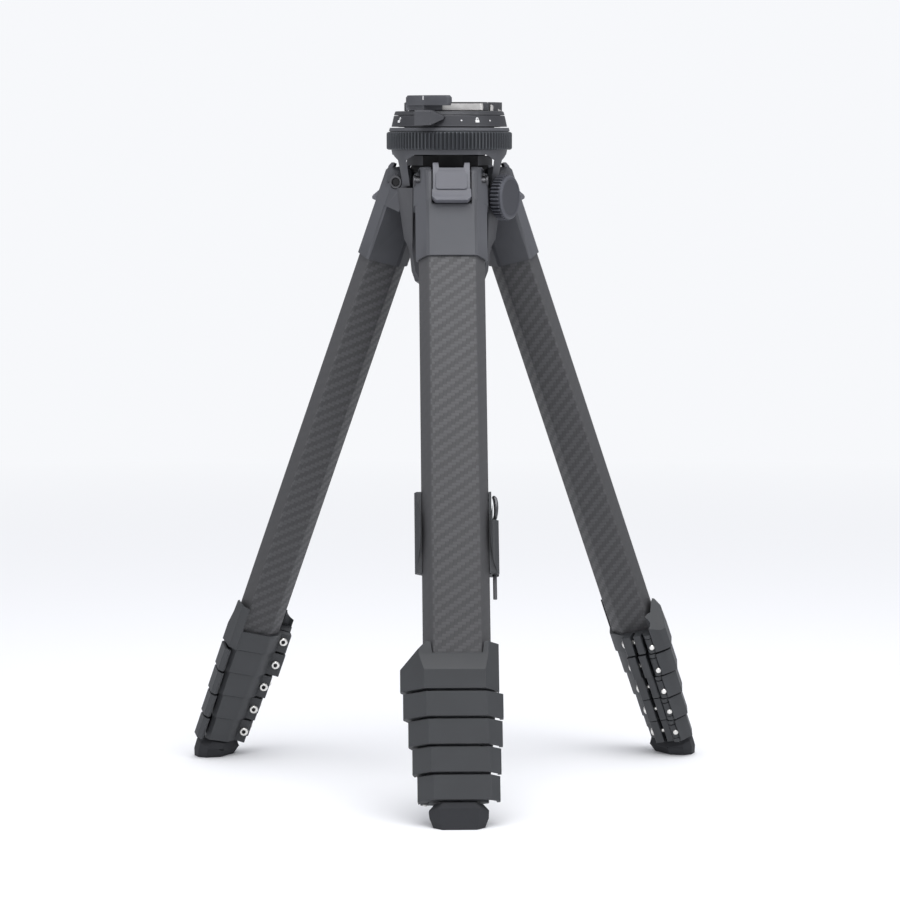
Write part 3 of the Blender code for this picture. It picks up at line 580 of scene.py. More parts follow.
def collar_mesh(lock):
    """Band with slit ears, two hinge lugs and a channel for the clamp's rod."""
    lo, hi = lock.collar
    q, half = lock.ear_shift, back_left(lock)[3]
    root = lifted([(-lock.band_side + 2.0, -1.3), (-lock.band_side + 4.5, -5.0)])
    lug = [root[0]] + arc(*lock.leg_hinge, 2.4, 62, 298, 14) + [root[1]]
    near, far = ear_outlines(lock)
    slit = strip(lock, q - SLIT_HALF, q + SLIT_HALF, -1.0, 1.0)
    channel = strip(lock, -half - 1.0, q - 5.2, -1.1, 2.0)
    band = combine(
        prism(band_outline(lock), lo - (0.6 if lock.index > 0 else 0.0), hi),
        (ADD, prism(lug, lo, lo + 2.2)),
        (ADD, prism(lug, hi - 2.2, hi)),
        (ADD, prism(near, lo, hi)),
        (ADD, prism(far, lo, hi)),
        (CUT, prism(slit, lo - 1, hi + 1)),
    )
    return cut(
        band,
        prism(channel, lock.channel_s - 1.3, lock.channel_s + 1.2),
        prism(tube_outline(lock.index, 0.12), lo - 5, hi - 0.8),
        prism(tube_outline(lock.index, -TUBE_WALL), lo - 5, hi + 5),
    )


def channel_shade_mesh(lock):
    """Near-black floor of the rod channel: painted shade in the recess."""
    outline = strip(lock, -back_left(lock)[3] + 0.5, lock.ear_shift - 5.3, -1.2, -0.75)
    return prism(outline, lock.channel_s - 1.28, lock.channel_s + 1.18)


def slit_shade_mesh(lock):
    """Dark floor of the slit."""
    outline = strip(lock, lock.ear_shift - 0.93, lock.ear_shift + 0.93, -1.05, -0.4)
    return prism(outline, lock.collar[0] + 0.1, lock.collar[1] - 0.1)


def lever_mesh(lock):
    """Cam lever about its hinge: a bar across the collar's front, a knuckle at its left end."""
    hinge_t, hinge_n = lock.hinge
    front, left, right = lock.front, lock.left, lock.right
    inner = front - LEVER_THICK
    side, half = lock.band_side + GAP, lock.front_half
    lo, hi = lock.lever
    left_flat, right_flat = -17.0 + 1.1 * lock.index, 14.0 + 0.6 * lock.index
    top_lever = lock.index == 0
    if top_lever:
        free_end = [
            (right + 0.9, 2.6), (right + 0.9, -2.2),
            (side + 0.05, -2.4), (side + 0.05, 1.2), (half + 2.5, inner - 1.3),
        ]
    else:
        free_end = [
            (right, 3.4), (right, 0.4),
            (right - 1.9, 0.2), (right - 1.9, 3.0), (right_flat - 0.4, inner),
        ]
    # from the hinge round the outside to the free end, then back along the inside
    arm = [
        (hinge_t - 3.4, hinge_n - 0.6), (left + 0.3, -1.6), (left, 0.2), (left, 2.4),
        (left_flat, front), (right_flat, front), *free_end,
        (half, inner), (-half, inner), (-half - 2.5, inner - 1.3),
        (-side - 0.05, 1.2), (-side - 0.05, -1.2), *arc(hinge_t, hinge_n, 3.0, 60, 168, 5),
    ]
    knuckle = relative(arc(hinge_t, hinge_n, 2.45, -10, -190, 8), lock.hinge)
    knuckle += [(-3.6, 3.4), (-0.4, 4.6), (-side - 0.15 - hinge_t, 3.4)]
    knuckle_top = max(lo, lock.collar[0]) + 2.5
    steps = [(ADD, prism(knuckle, knuckle_top, hi - 2.4))]
    bar = prism(relative(arm, lock.hinge), lo, hi)
    if not top_lever:
        return combine(bar, *steps)
    # the top lever's bar thins upwards, (n, s), and narrows at its upper left, (t, s)
    thinning = [
        (9.0 - hinge_n, lo - 3.0), (40.0, lo - 3.0), (40.0, 261.5),
        (front - hinge_n, 261.5), (9.9 - hinge_n, lo),
    ]
    narrowing = [
        (left - hinge_t - 5, lo - 3), (-16.2 - hinge_t, lo - 3), (-16.2 - hinge_t, lo),
        (left - hinge_t, 263.5), (left - hinge_t - 5, 263.5),
    ]
    steps += [(CUT, prism(thinning, -60, 60, "x")), (CUT, prism(narrowing, -40, 60, "y"))]
    deeper = [
        (9.0 - hinge_n, 250.0), (40.0, 250.0), (40.0, 265.2),
        (front - hinge_n, 265.2), (9.6 - hinge_n, 257.3),
    ]
    return cut(combine(bar, *steps), prism(deeper, -60, 60, "x"))


# ================================================================ fasteners (axis along +Z)
def screw_mesh():
    """Button-head socket screw seated at z 0."""
    sides = 24

    def hexagon(radius, z):
        points = []
        for i in range(sides):
            a = 2 * pi * i / sides
            r = radius * cos(pi / 6) / cos((a % (pi / 3)) - pi / 6)
            points.append((r * cos(a), r * sin(a), z))
        return points

    profile = (                                 # (radius, z)
        (SCREW_R * 0.96, -0.3), (SCREW_R, 0.0), (SCREW_R, SCREW_H * 0.45),
        (SCREW_R * 0.93, SCREW_H * 0.8), (SCREW_R * 0.80, SCREW_H), (SCREW_R * 0.62, SCREW_H),
    )
    socket = ((SOCKET_R, 0.12), (SOCKET_R, 0.95), (SOCKET_R * 0.3, 1.1))   # (radius, depth)
    rings = [circle(radius, z, sides) for radius, z in profile]
    return solid(rings + [hexagon(radius, SCREW_H - depth) for radius, depth in socket])


def socket_shade_mesh():
    """Near-black disc in the screw's socket, dished on top: painted shade at the bottom of the hole.
    """
    return solid([
        circle(SOCKET_R * 0.93 * factor, SOCKET_FLOOR + rise, 12)
        for factor, rise in ((1.0, 0.0), (1.0, 0.12), (0.3, 0.02))
    ])


def pin_mesh(radius, length, sides=20, lip=0.25):
    """Pin with both ends chamfered by lip."""
    profile = ((radius - lip, 0), (radius, lip), (radius, length - lip), (radius - lip, length))
    return solid([circle(r, z, sides) for r, z in profile])


def bolt_cap_mesh():
    profile = (                                 # (radius, z)
        (3.5, 0.0), (3.6, 0.15), (3.6, 1.1), (3.35, 1.45), (2.6, 1.5), (2.35, 1.35), (2.2, 0.5),
    )
    return solid([circle(r, z, 36) for r, z in profile])


# ================================================================ tool clip (leg frame)
def clip_mesh():
    """Clip round the back of the outer tube, with a channel for the key low on its right."""
    out, inn = inset(TUBE_HEX, -2.3), inset(TUBE_HEX, -GAP)

    def towards(a, b):
        return a[0] + (b[0] - a[0]) * 0.45, a[1] + (b[1] - a[1]) * 0.45

    wrap = [towards(out[0], out[1]), *out[1:5], towards(out[5], out[4])]
    wrap += [towards(inn[5], inn[4]), *reversed(inn[1:5]), towards(inn[0], inn[1])]
    holder = [
        (11.0, -6.4), (14.0, -7.4), (20.8, -7.4), (22.2, -5.8), (22.2, 0.6), (20.0, 2.6), (16.0, 2.6),
    ]
    bow = [                                     # front edge of the right wing, (t, s)
        (20.8, 160.0), (20.8, 171.5), (19.2, 176.0), (18.0, 184.0), (17.7, 191.5),
        (18.0, 199.0), (19.2, 207.0), (20.8, 211.5), (20.8, 230.0),
    ]
    return combine(
        prism(lifted(wrap), 170.0, 213.0),
        (ADD, prism(lifted(holder), 185.0, 213.0)),
        (CUT, prism(lifted(inn), 160.0, 230.0)),
        (CUT, prism(lifted(rect(18.6, 30.0, -5.0, -1.8)), 160.0, 230.0)),
        (CUT, prism(lifted(rect(18.6, 30.0, -9.8, 2.2)), 160.0, 185.0)),
        (CUT, prism(bow + [(-t, s) for t, s in reversed(bow)], 3.1, 20.0, "y")),
    )


def key_mesh():
    """Hex key with a bowed loop at its upper end, about the foot of the loop."""
    path = [Vector((0, 0, 42.0)), Vector((0, 0, 22.0)), Vector((0, 0, 0.6))]
    for a in map(radians, range(25, 331, 30)):
        path.append(Vector((1.2 * abs(sin(a)), 3.4 * sin(a), -5.9 + 5.9 * cos(a))))
    x = Vector((1, 0, 0))
    return wire(path, 1.1, 6, lambda direction: (x, direction.cross(x).normalized()))


# ================================================================ hub and column
def column_outline(extra=0.0):
    """Three lobes between the legs and three flats facing them."""
    half, run = 3.4, 8.8
    lobe = (                                    # (outwards, sideways)
        (COLUMN_LOBE - 1.0, -half), (COLUMN_LOBE, -half + 1.2),
        (COLUMN_LOBE, half - 1.2), (COLUMN_LOBE - 1.0, half),
    )
    flat = ((COLUMN_FLAT, -run), (COLUMN_FLAT, run))
    points = []
    for azimuth in LEG_AZIMUTHS:
        for turn, part in ((60.0, lobe), (120.0, flat)):
            c, s = cos(radians(azimuth + turn)), sin(radians(azimuth + turn))
            points += [(c * d - s * w, s * d + c * w) for d, w in part]
    return inset(points, -extra)


def hub_mesh():
    """Hub with a flat and a hinge lug facing each leg, and a crown round the column."""
    body = turned([
        (0, 265), (17.0, 265), (19.8, 266.6), (22.4, 272),
        (24.4, 285), (25.9, 289), (28.8, 316), (0, 316),
    ], 108)
    leg_room = [                                # (across, outwards)
        (-19.95, 13.2), (-8.5, 11.0), (8.5, 11.0), (19.95, 13.2), (19.95, 50.0), (-19.95, 50.0),
    ]
    body = cut(body, *[upright(leg_room, 255, 330, az, "z") for az in LEG_AZIMUTHS])
    lug = [(9.9, 309.9), (15.5, 309.9), *arc(PIVOT_R, PIVOT_H, 6.8, -75, 100, 8), (9.9, 324.0)]
    body = combine(body, *[(ADD, upright(lug, -10.7, 10.7, az, "x")) for az in LEG_AZIMUTHS])

    wall = rect(5.0, 17.5, 311.0, 329.0)
    steps = [(ADD, upright(wall, -10.4, 10.4, az, "x")) for az in LEG_AZIMUTHS]
    rim = []
    for azimuth in LEG_AZIMUTHS:
        c, s = cos(radians(azimuth)), sin(radians(azimuth))
        rim += [(17.8 * c + 14.5 * s, 17.8 * s - 14.5 * c), (17.8 * c - 14.5 * s, 17.8 * s + 14.5 * c)]
    body = combine(body, *steps, (ADD, prism(rim, 327.8, 332.9)))

    pivot = bore_outline(PIVOT_BORE, PIVOT_R, PIVOT_H)
    knob_hole = [(x, KNOB_H + z) for x, z, _ in circle(1.8, 0, 14)]
    return from_ground(cut(
        body,
        prism(column_outline(GAP), 250, 340),
        *[upright(pivot, -12, 12, az, "x") for az in LEG_AZIMUTHS],
        upright(knob_hole, 10.0, 40.0, KNOB_AZIMUTH),
    ))


def column_mesh():
    outer, inner = column_outline(), column_outline(-1.6)
    return from_ground(solid([
        at_height(outer, COLUMN_BOTTOM), at_height(outer, COLUMN_TOP),
        at_height(inner, COLUMN_TOP), at_height(inner, COLUMN_BOTTOM),
    ], closed=True))


def hook_mesh():
    """Plug in the column's foot with a wire eye below."""
    plug = turned([(0, 96.0), (5.0, 96.0), (8.6, 97.4), (8.6, 103.7), (0, 103.7)], 72)
    angles = [radians(a) for a in range(-165, 166, 30)]
    path = [Vector((5.0 * sin(a), 0, 92.2 - 5.0 * cos(a))) for a in angles]
    y = Vector((0, 1, 0))
    eye = wire(path, 1.3, 8, lambda direction: (y.cross(direction).normalized(), y))
    return from_ground(combine(plug, (ADD, eye)))


def shadow_collar_mesh():
    """Near-black collar round the column's top, in the crown: a painted shadow filling the gaps there.
    """
    return from_ground(turned(
        [(13.6, 327.0), (19.0, 327.0), (19.0, 333.9), (13.6, 333.9)], 20))


def knob_mesh():
    """Column knob about its own axis, along +X: a fluted head on a screw."""
    flutes = (0, 0.8, 1, 1, 0.8, 0) * 36
    stations = (                                # (x, radius, flute depth)
        (15.9, 1.3, 0), (16.4, 1.5, 0), (29.2, 1.5, 0), (29.25, 10.4, 0),
        (30.0, 11.2, 0.7), (30.8, 12.1, 1.1), (34.9, 12.1, 1.1), (35.2, 11.7, 0.2),
        (36.2, 11.5, 0), (36.9, 10.6, 0), (36.9, 9.8, 0), (36.65, 9.5, 0),
    )
    rings = []
    for x, radius, depth in stations:
        ring = []
        for i, height in enumerate(flutes):
            r, a = radius - depth * (1 - height), 2 * pi * i / len(flutes)
            ring.append((x, r * cos(a), r * sin(a)))
        rings.append(ring)
    return solid(rings)


# ================================================================ head
def neck_mesh():
    """Cup with three arms between the legs and a bowl for the liners."""
    bowl = [on_ball(31.0, h) for h in (347.6, 344.5, 341.3)]
    bowl += [on_ball(28.6, h) for h in (341.3, 338.5, 335.6)]
    body = turned([
        (0, 317), (26.7, 317), (29.6, 330.5), (30.7, 335.7), (30.7, 337.5), (31.5, 337.5),
        (31.5, 345.8), (32.05, 345.9), (31.6, 347.6), *bowl, (0, 335.6),
    ], 108)
    arch = [
        (-21.3, 310.0), (21.3, 310.0), (21.3, 317.0), (23.2, 330.6),
        (19.0, 333.4), (-19.0, 333.4), (-23.2, 330.6), (-21.3, 317.0),
    ]
    return from_ground(cut(body, *[upright(arch, -8.0, 45.0, az) for az in LEG_AZIMUTHS]))


def liner_mesh(inner, outer, low, high):
    """Spherical shell between two heights."""
    heights = [low + (high - low) * i / 2 for i in range(3)]
    profile = [on_ball(outer, h) for h in heights] + [on_ball(inner, h) for h in reversed(heights)]
    return from_ground(turned(profile, 96))


def dovetail_room(side, bottom):
    """Room cut from a jaw for the plate's dovetail; side is 1 towards +X, -1 towards -X."""
    outline = (
        (10.0, bottom), (21.7, bottom), (21.7, 357.8), (20.0, 359.6), (20.0, 370.0), (10.0, 370.0),
    )
    return prism([(side * x, h) for x, h in outline], -40.0, 40.0, "y")


def platform_mesh():
    """Tilting deck: truncated ball, journal and flange, with the fixed jaw on top towards +X."""
    body = turned([
        (0, 339.0), *[on_ball(24.0, h) for h in (339.0, 342.0, 345.0, 348.0)],
        (27.0, 348.0), (27.0, 354.3), (29.35, 354.3), (28.8, 356.0), (28.4, 356.3), (0, 356.3),
    ], 108)
    rim = arc(0, 0, 28.0, -34, 34, 8)
    jaw = prism([(18.6, rim[0][1]), *rim, (18.6, rim[-1][1])], 355.0, 361.0)
    return from_ground(combine(body, (ADD, cut(jaw, dovetail_room(1, 356.35)))))


def moving_jaw_mesh():
    """Sliding jaw opposite the fixed one."""
    outline = [
        (-18.6, 11.4), (-22.8, 11.4), (-23.7, 10.5), (-23.7, -10.5), (-22.8, -11.4), (-18.6, -11.4),
    ]
    return from_ground(cut(prism(outline, 356.6, 361.0), dovetail_room(-1, 356.0)))


def plate_mesh():
    """Dovetail camera plate with cut corners."""
    def ring(x, y, corner, h):
        return at_height([
            (-x, -y + corner), (-x + corner, -y), (x - corner, -y), (x, -y + corner),
            (x, y - corner), (x - corner, y), (-x + corner, y), (-x, y - corner),
        ], h)
    stations = (                                # (half x, half y, corner, h)
        (21.3, 19.7, 5.2, 356.65), (21.3, 19.7, 5.2, 357.65), (19.6, 19.7, 3.6, 359.4),
        (19.6, 19.7, 3.6, 360.7), (19.3, 19.4, 3.4, 361.0),
    )
    return from_ground(solid([ring(*station) for station in stations]))


def plate_pad_mesh():
    """Thin rubber pad let into the plate's top."""
    edge = rounded([
        (-19.5, -16.3), (-16.1, -19.75), (16.1, -19.75), (19.5, -16.3),
        (19.5, 16.3), (16.1, 19.75), (-16.1, 19.75), (-19.5, 16.3),
    ], 1.0, 3)
    return solid([
        [(x * factor, y * factor, z) for x, y in edge]
        for factor, z in ((0.99, -0.75), (1.0, -0.7), (1.0, -0.1), (0.985, 0.02))
    ])


def clamp_lever_mesh():
    """Clamp lever about its upright pivot: a curved slab over a narrower web."""
    pivot_x, pivot_y = CLAMP_PIVOT
    boss = arc(pivot_x, pivot_y, 1.5, 40, 175, 4)
    heel = [(-15.8, -20.3), (-19.6, -17.2)]
    slab = boss + arc(0, 0, 29.3, 219, 266, 7)
    slab += [(-0.8, -28.4), (0.5, -26.6), (-2.5, -20.3)] + heel
    web = boss + arc(0, 0, 28.0, 221, 240, 4)
    web += [(-9.0, -24.4), (-4.4, -23.6), (-4.4, -20.3)] + heel
    mid_x, mid_y = -12.0, -24.0                 # the slab tapers about this point

    def scaled_slab(factor, h):
        return [
            (mid_x + (x - mid_x) * factor - pivot_x, mid_y + (y - mid_y) * factor - pivot_y, h)
            for x, y in slab
        ]

    layers = ((0.95, 359.2), (1.0, 361.0), (1.0, 363.3), (0.92, 364.5))
    top = solid([scaled_slab(*layer) for layer in layers])
    return from_ground(combine(top, (ADD, prism(relative(web, CLAMP_PIVOT), 356.6, 360.0))))


def lock_ring_mesh():
    """Lock ring with a finger tab that ramps down on one side."""
    body = turned([
        (27.3, 348.2), (30.7, 348.2), *LOCK_CONE, (29.2, 354.0), (27.3, 354.0),
    ], 120)
    hook = [                                    # (outwards, h)
        (28.6, 352.7), (34.4, 352.7), (34.4, 348.8), (36.1, 348.8), (36.1, 355.8),
        (35.3, 356.6), (30.4, 356.6), (30.0, 354.1), (28.6, 353.8),
    ]
    slope = [
        (28.0, 352.6), (30.0, 352.6), (30.1, 352.0), (30.7, 352.0), (30.5, 353.1),
        (30.1, 353.5), (29.7, 353.6), (29.0, 353.55), (28.0, 353.5),
    ]
    sections = ((-4.6, hook), (4.2, hook), (9.6, slope))
    tab = solid([[(x, r, h) for r, h in outline] for x, outline in sections])
    tab.transform(across(LOCK_TAB_AZIMUTH))
    return from_ground(combine(body, (ADD, tab)))


def adjust_ring_mesh():
    """Adjusting ring with upright flutes all round and a lip at its foot."""
    flutes = (0, 0.35, 1, 1, 1, 0.35, 0, 0) * 100
    count, ease = len(flutes), 0.9

    def plain(radius, h):
        return circle(radius, h - PLATE_TOP, count)

    def fluted(tip, h):
        ring = []
        for i, height in enumerate(flutes):
            r, a = RING_ROOT + (tip - RING_ROOT) * height, 2 * pi * i / count
            ring.append((r * cos(a), r * sin(a), h - PLATE_TOP))
        return ring

    return solid([
        plain(RING_BORE, RING_LOW + 1.2), plain(RING_LIP, RING_LOW + 1.2),
        plain(RING_LIP, RING_LOW), plain(RING_ROOT - 0.3, RING_LOW),
        fluted(RING_TIP - 0.35, RING_LOW + ease * 0.4), fluted(RING_TIP, RING_LOW + ease),
        fluted(RING_TIP, RING_HIGH - ease), fluted(RING_TIP - 0.35, RING_HIGH - ease * 0.4),
        plain(RING_ROOT - 0.3, RING_HIGH), plain(RING_BORE, RING_HIGH),
    ], closed=True)


def cone_mark(outline, azimuth, h=351.3, lift=0.06, sink=0.15):
    """Thin raised print on the lock ring's cone; outline is (along, up) from azimuth and h."""
    (low_r, low_h), (high_r, high_h) = LOCK_CONE
    bm = bmesh.new()
    front, back = [], []
    for x, y in outline:
        r = low_r + (high_r - low_r) * (h + y - low_h) / (high_h - low_h) + lift
        a = radians(azimuth) + x / r
        for verts, radius in ((front, r), (back, r - (lift + sink))):
            place = Vector((radius * cos(a), radius * sin(a), h + y - PLATE_TOP))
            verts.append(bm.verts.new(place * MM))
    bm.faces.new(front)
    bm.faces.new(list(reversed(back)))
    for i in range(len(front)):
        j = (i + 1) % len(front)
        bm.faces.new((front[i], back[i], back[j], front[j]))
    return finished(bm, "mark")


def wedge_mesh():
    """Triangular sliver at the fixed jaw's -Y end."""
    front = [(20.95, -18.1, 356.35), (27.5, -8.8, 356.35), (21.2, -17.8, 359.9)]
    return solid([
        [(x + dx, y + dy, h - PLATE_TOP) for x, y, h in front] for dx, dy in ((0, 0), (-0.9, 1.6))
    ])


# ================================================================ shader nodes
def new_material(name):
    material = bpy.data.materials.new(name)
    material.use_nodes = True
    return material, material.node_tree, material.node_tree.nodes["Principled BSDF"]


def feed(tree, node, inputs):
    """Link or set a node's inputs, given by name or index."""
    for key, value in inputs.items():
        if isinstance(value, bpy.types.NodeSocket):
            tree.links.new(value, node.inputs[key])
        else:
            node.inputs[key].default_value = value


def add(tree, kind, inputs=None, **properties):
    node = tree.nodes.new(kind)
    for key, value in properties.items():
        setattr(node, key, value)
    feed(tree, node, inputs or {})
    return node


def maths(tree, operation, *values):
    return add(tree, "ShaderNodeMath", dict(enumerate(values)), operation=operation).outputs[0]


def gained(tree, value, gain, base):
    """value * gain + base."""
    return maths(tree, "MULTIPLY_ADD", value, gain, base)


def ramp(tree, factor, stops):
    """Colour ramp through (position, rgb) stops."""
    node = add(tree, "ShaderNodeValToRGB", {0: factor})
    elements = node.color_ramp.elements
    for _ in stops[2:]:
        elements.new(0.5)
    for element, (position, rgb) in zip(elements, stops):
        element.position = position
        element.color = (*rgb, 1.0)
    return node.outputs[0]


def noise(tree, vector, scale, detail=2.0):
    inputs = {"Vector": vector, "Scale": scale, "Detail": detail}
    return add(tree, "ShaderNodeTexNoise", inputs).outputs["Fac"]


def mapping(tree, vector, scale):
    return add(tree, "ShaderNodeMapping", {"Vector": vector, "Scale": scale}).outputs[0]


def separate(tree, vector):
    return add(tree, "ShaderNodeSeparateXYZ", {0: vector}).outputs


def colour_mix(tree, factor, a, b):
    inputs = {0: factor, 6: a, 7: b}
    return add(tree, "ShaderNodeMix", inputs, data_type="RGBA").outputs[2]


def scaled(tree, colour, factor):
    inputs = {0: colour, "Scale": factor}
    return add(tree, "ShaderNodeVectorMath", inputs, operation="SCALE").outputs[0]


def bump(tree, height, strength, distance):
    inputs = {"Strength": strength, "Distance": distance, "Height": height}
    return add(tree, "ShaderNodeBump", inputs).outputs[0]


# ================================================================ materials
def coarse(name, rgb, rough, metal=0.0, grain=9000.0, grain_depth=0.02, vary=0.10, wear_and_highlight=0.35,
           spec=0.5):
    """Moulded, painted or blasted surface: fine grain, slow colour drift, and edges lightened both as
    wear and as a painted highlight.

    grain is a noise scale, grain_depth is in millimetres, vary is the colour drift.
    """
    material, tree, shader = new_material(name)
    place = add(tree, "ShaderNodeTexCoord").outputs["Object"]
    fine = noise(tree, place, scale=grain)
    slow = noise(tree, place, scale=60.0, detail=3.0)
    dark = tuple(c * (1 - vary) for c in rgb)
    light = tuple(min(1.0, c * (1 + vary)) for c in rgb)
    base = ramp(tree, slow, [(0.30, dark), (0.72, light)])
    grained = scaled(tree, base, gained(tree, fine, gain=0.16, base=0.92))
    pointiness = add(tree, "ShaderNodeNewGeometry").outputs["Pointiness"]
    # convex edges are lightened, partly as wear and partly as a painted highlight on the bevels
    edge = ramp(tree, pointiness, [(0.508, (0, 0, 0)), (0.57, (1, 1, 1))])
    edge = maths(tree, "MULTIPLY", edge, wear_and_highlight)
    worn_and_lit = (*[min(1.0, c * 1.9 + 0.02) for c in rgb], 1.0)
    roughness = gained(tree, slow, gain=0.16, base=rough - 0.08)
    feed(tree, shader, {
        "Base Color": colour_mix(tree, edge, grained, worn_and_lit),
        "Roughness": gained(tree, fine, gain=0.06, base=roughness),
        "Metallic": metal,
        "Specular IOR Level": spec,
        "Normal": bump(tree, fine, strength=0.35, distance=grain_depth * 0.001),
    })
    return material


def brushed(name, rgb, rough, line_scale):
    """Machined or drawn metal: fine parallel lines, low line_scale along them, slight tarnish."""
    material, tree, shader = new_material(name)
    place = add(tree, "ShaderNodeTexCoord").outputs["Object"]
    lines = noise(tree, mapping(tree, place, line_scale), scale=1.0, detail=3.0)
    slow = noise(tree, place, scale=220.0)
    tarnished = tuple(c * 0.86 for c in rgb)
    bright = tuple(min(1, c * 1.06) for c in rgb)
    feed(tree, shader, {
        "Base Color": ramp(tree, slow, [(0.3, tarnished), (0.7, bright)]),
        "Roughness": gained(tree, lines, gain=0.22, base=rough - 0.10),
        "Metallic": 1.0,
        "Normal": bump(tree, lines, strength=0.25, distance=0.00001),
    })
    return material


def carbon(name):
    """Twill laminate under satin lacquer: tows float two over two, one tow further each row.

    The laminate map runs round the tube in u and along it in v, in millimetres.
    """
    warp_width, weft_width = 2.05, 1.55
    dark_tow, light_tow = (0.046, 0.046, 0.049, 1), (0.067, 0.067, 0.071, 1)
    roundness = 0.45               # power that squares off the tows' rounded height
    material, tree, shader = new_material(name)
    calc, gain_of = partial(maths, tree), partial(gained, tree)

    uv = add(tree, "ShaderNodeUVMap", uv_map="laminate").outputs[0]
    round_tube, along_tube = separate(tree, uv)[:2]
    wobble = gain_of(noise(tree, uv, scale=0.35), gain=0.5, base=-0.25)
    zone = add(tree, "ShaderNodeUVMap", uv_map="zone").outputs[0]
    woven = separate(tree, zone)[0]

    # cell and place within it
    u = calc("ADD", calc("DIVIDE", round_tube, warp_width), wobble)
    v = calc("ADD", calc("DIVIDE", along_tube, weft_width), wobble)
    cell_u, cell_v = calc("FLOOR", u), calc("FLOOR", v)
    within_u, within_v = calc("SUBTRACT", u, cell_u), calc("SUBTRACT", v, cell_v)
    phase = calc("FLOORED_MODULO", calc("SUBTRACT", cell_u, cell_v), 4.0)
    weft = calc("LESS_THAN", phase, 1.5)        # weft on top in half of the cells

    # rounded tows: height falls to the tow's long edges
    warp_height, weft_height = (
        calc("POWER", calc("SINE", calc("MULTIPLY", within, pi)), roundness)
        for within in (within_u, within_v)
    )
    heights = {0: weft, 2: warp_height, 3: weft_height}
    height = add(tree, "ShaderNodeMix", heights, data_type="FLOAT").outputs[0]
    filaments = noise(tree, mapping(tree, uv, (1.2, 16.0, 1.0)), scale=1.0)

    weft_share = gain_of(calc("SUBTRACT", weft, 0.5), gain=woven, base=0.5)
    tint = colour_mix(tree, weft_share, dark_tow, light_tow)
    cell = add(tree, "ShaderNodeCombineXYZ", {0: cell_u, 1: cell_v}).outputs[0]
    cell = add(tree, "ShaderNodeTexWhiteNoise", {"Vector": cell}, noise_dimensions="2D")
    relief = calc("MULTIPLY", calc("SUBTRACT", height, 0.8), woven)
    shade = gain_of(relief, gain=0.30, base=0.88)
    shade = gain_of(calc("MULTIPLY", cell.outputs["Value"], woven), gain=0.12, base=shade)
    # painted shade: the tubes are coloured darker towards the foot of the leg, where less of the light
    # from above reaches
    painted_shade_down_leg = [(0.15, (1.0, 1.0, 1.0)), (0.85, (0.70, 0.70, 0.70))]
    shade = calc("MULTIPLY", shade, ramp(tree, calc("DIVIDE", along_tube, 300.0), painted_shade_down_leg))
    shade = gain_of(filaments, gain=0.22, base=shade)
    roughness = gain_of(calc("MULTIPLY", weft, woven), gain=-0.07, base=0.52)
    feed(tree, shader, {
        "Base Color": scaled(tree, tint, shade),
        "Roughness": gain_of(filaments, gain=0.12, base=roughness),
        "Coat Weight": 0.10,
        "Coat Roughness": 0.42,
        "Normal": bump(tree, calc("MULTIPLY", height, woven), strength=0.5, distance=0.00006),
    })
    return material


PAINT = {"rough": 0.52, "metal": 0.15, "grain": 7000, "grain_depth": 0.03}
MOULDED = {"grain": 8000, "grain_depth": 0.03}
MATERIALS = {
    "casting": coarse("casting_paint", (0.061, 0.063, 0.071), **PAINT),
    "latch": coarse("latch_moulded", (0.106, 0.108, 0.124), rough=0.50, metal=0.05, grain=7000,
                    grain_depth=0.03, wear_and_highlight=0.30),
    "knob": coarse("knob_anodised", (0.056, 0.058, 0.069), rough=0.40, metal=0.45, wear_and_highlight=0.5),
    "hub": coarse("hub_paint", (0.060, 0.061, 0.067), **{**PAINT, "rough": 0.54}),
    "lever": coarse("lever_moulded", (0.0235, 0.0255, 0.0285), rough=0.50, wear_and_highlight=0.30, **MOULDED),
    "collar": coarse("collar_moulded", (0.026, 0.028, 0.031), rough=0.48, wear_and_highlight=0.25, **MOULDED),
    "rubber": coarse("sole_rubber", (0.021, 0.022, 0.025), rough=0.78, grain=5200,
                     grain_depth=0.05, wear_and_highlight=0.45, spec=0.3),
    "ring": coarse("ring_anodised", (0.036, 0.039, 0.044), rough=0.42, metal=0.55, wear_and_highlight=0.5),
    "lock": coarse("lock_ring_anodised", (0.050, 0.051, 0.057), rough=0.44, metal=0.45, wear_and_highlight=0.4),
    "deck": coarse("deck_anodised", (0.048, 0.049, 0.054), rough=0.42, metal=0.45),
    "clamp": coarse("clamp_anodised", (0.066, 0.068, 0.077), rough=0.44, metal=0.35, wear_and_highlight=0.5),
    "column": coarse("column_carbon_sleeve", (0.035, 0.035, 0.037), rough=0.40, metal=0.2,
                     grain=5000),
    # painted shade: near-black for socket holes, slits, rod channels and the hub's crown, where shade
    # falls
    "dark": coarse("shade_black", (0.006, 0.006, 0.007), rough=0.60, metal=0.2, grain=6000,
                   wear_and_highlight=0.0),
    "bolt": coarse("bolt_black_oxide", (0.05, 0.05, 0.054), rough=0.36, metal=0.7, grain=8000,
                   grain_depth=0.01, wear_and_highlight=0.6),
    "liner": coarse("liner_bearing_polymer", (0.46, 0.45, 0.41), rough=0.60, grain=4000),
    "pad": coarse("plate_pad_rubber", (0.030, 0.030, 0.032), rough=0.85, grain=3000,
                  grain_depth=0.06, spec=0.25),
    "mark": coarse("mark_white_print", (0.78, 0.78, 0.78), rough=0.60, grain_depth=0.01,
                   wear_and_highlight=0.0, vary=0.04),
    "steel": brushed("steel_bright", (0.74, 0.73, 0.70), rough=0.26, line_scale=(60, 9000, 9000)),
    "screw": brushed("screw_zinc", (0.80, 0.79, 0.76), rough=0.28, line_scale=(9000, 9000, 60)),
    "plate": brushed("plate_bare_aluminium", (0.93, 0.91, 0.88), rough=0.36,
                     line_scale=(60, 9000, 9000)),
    "carbon": carbon("carbon_twill"),
}

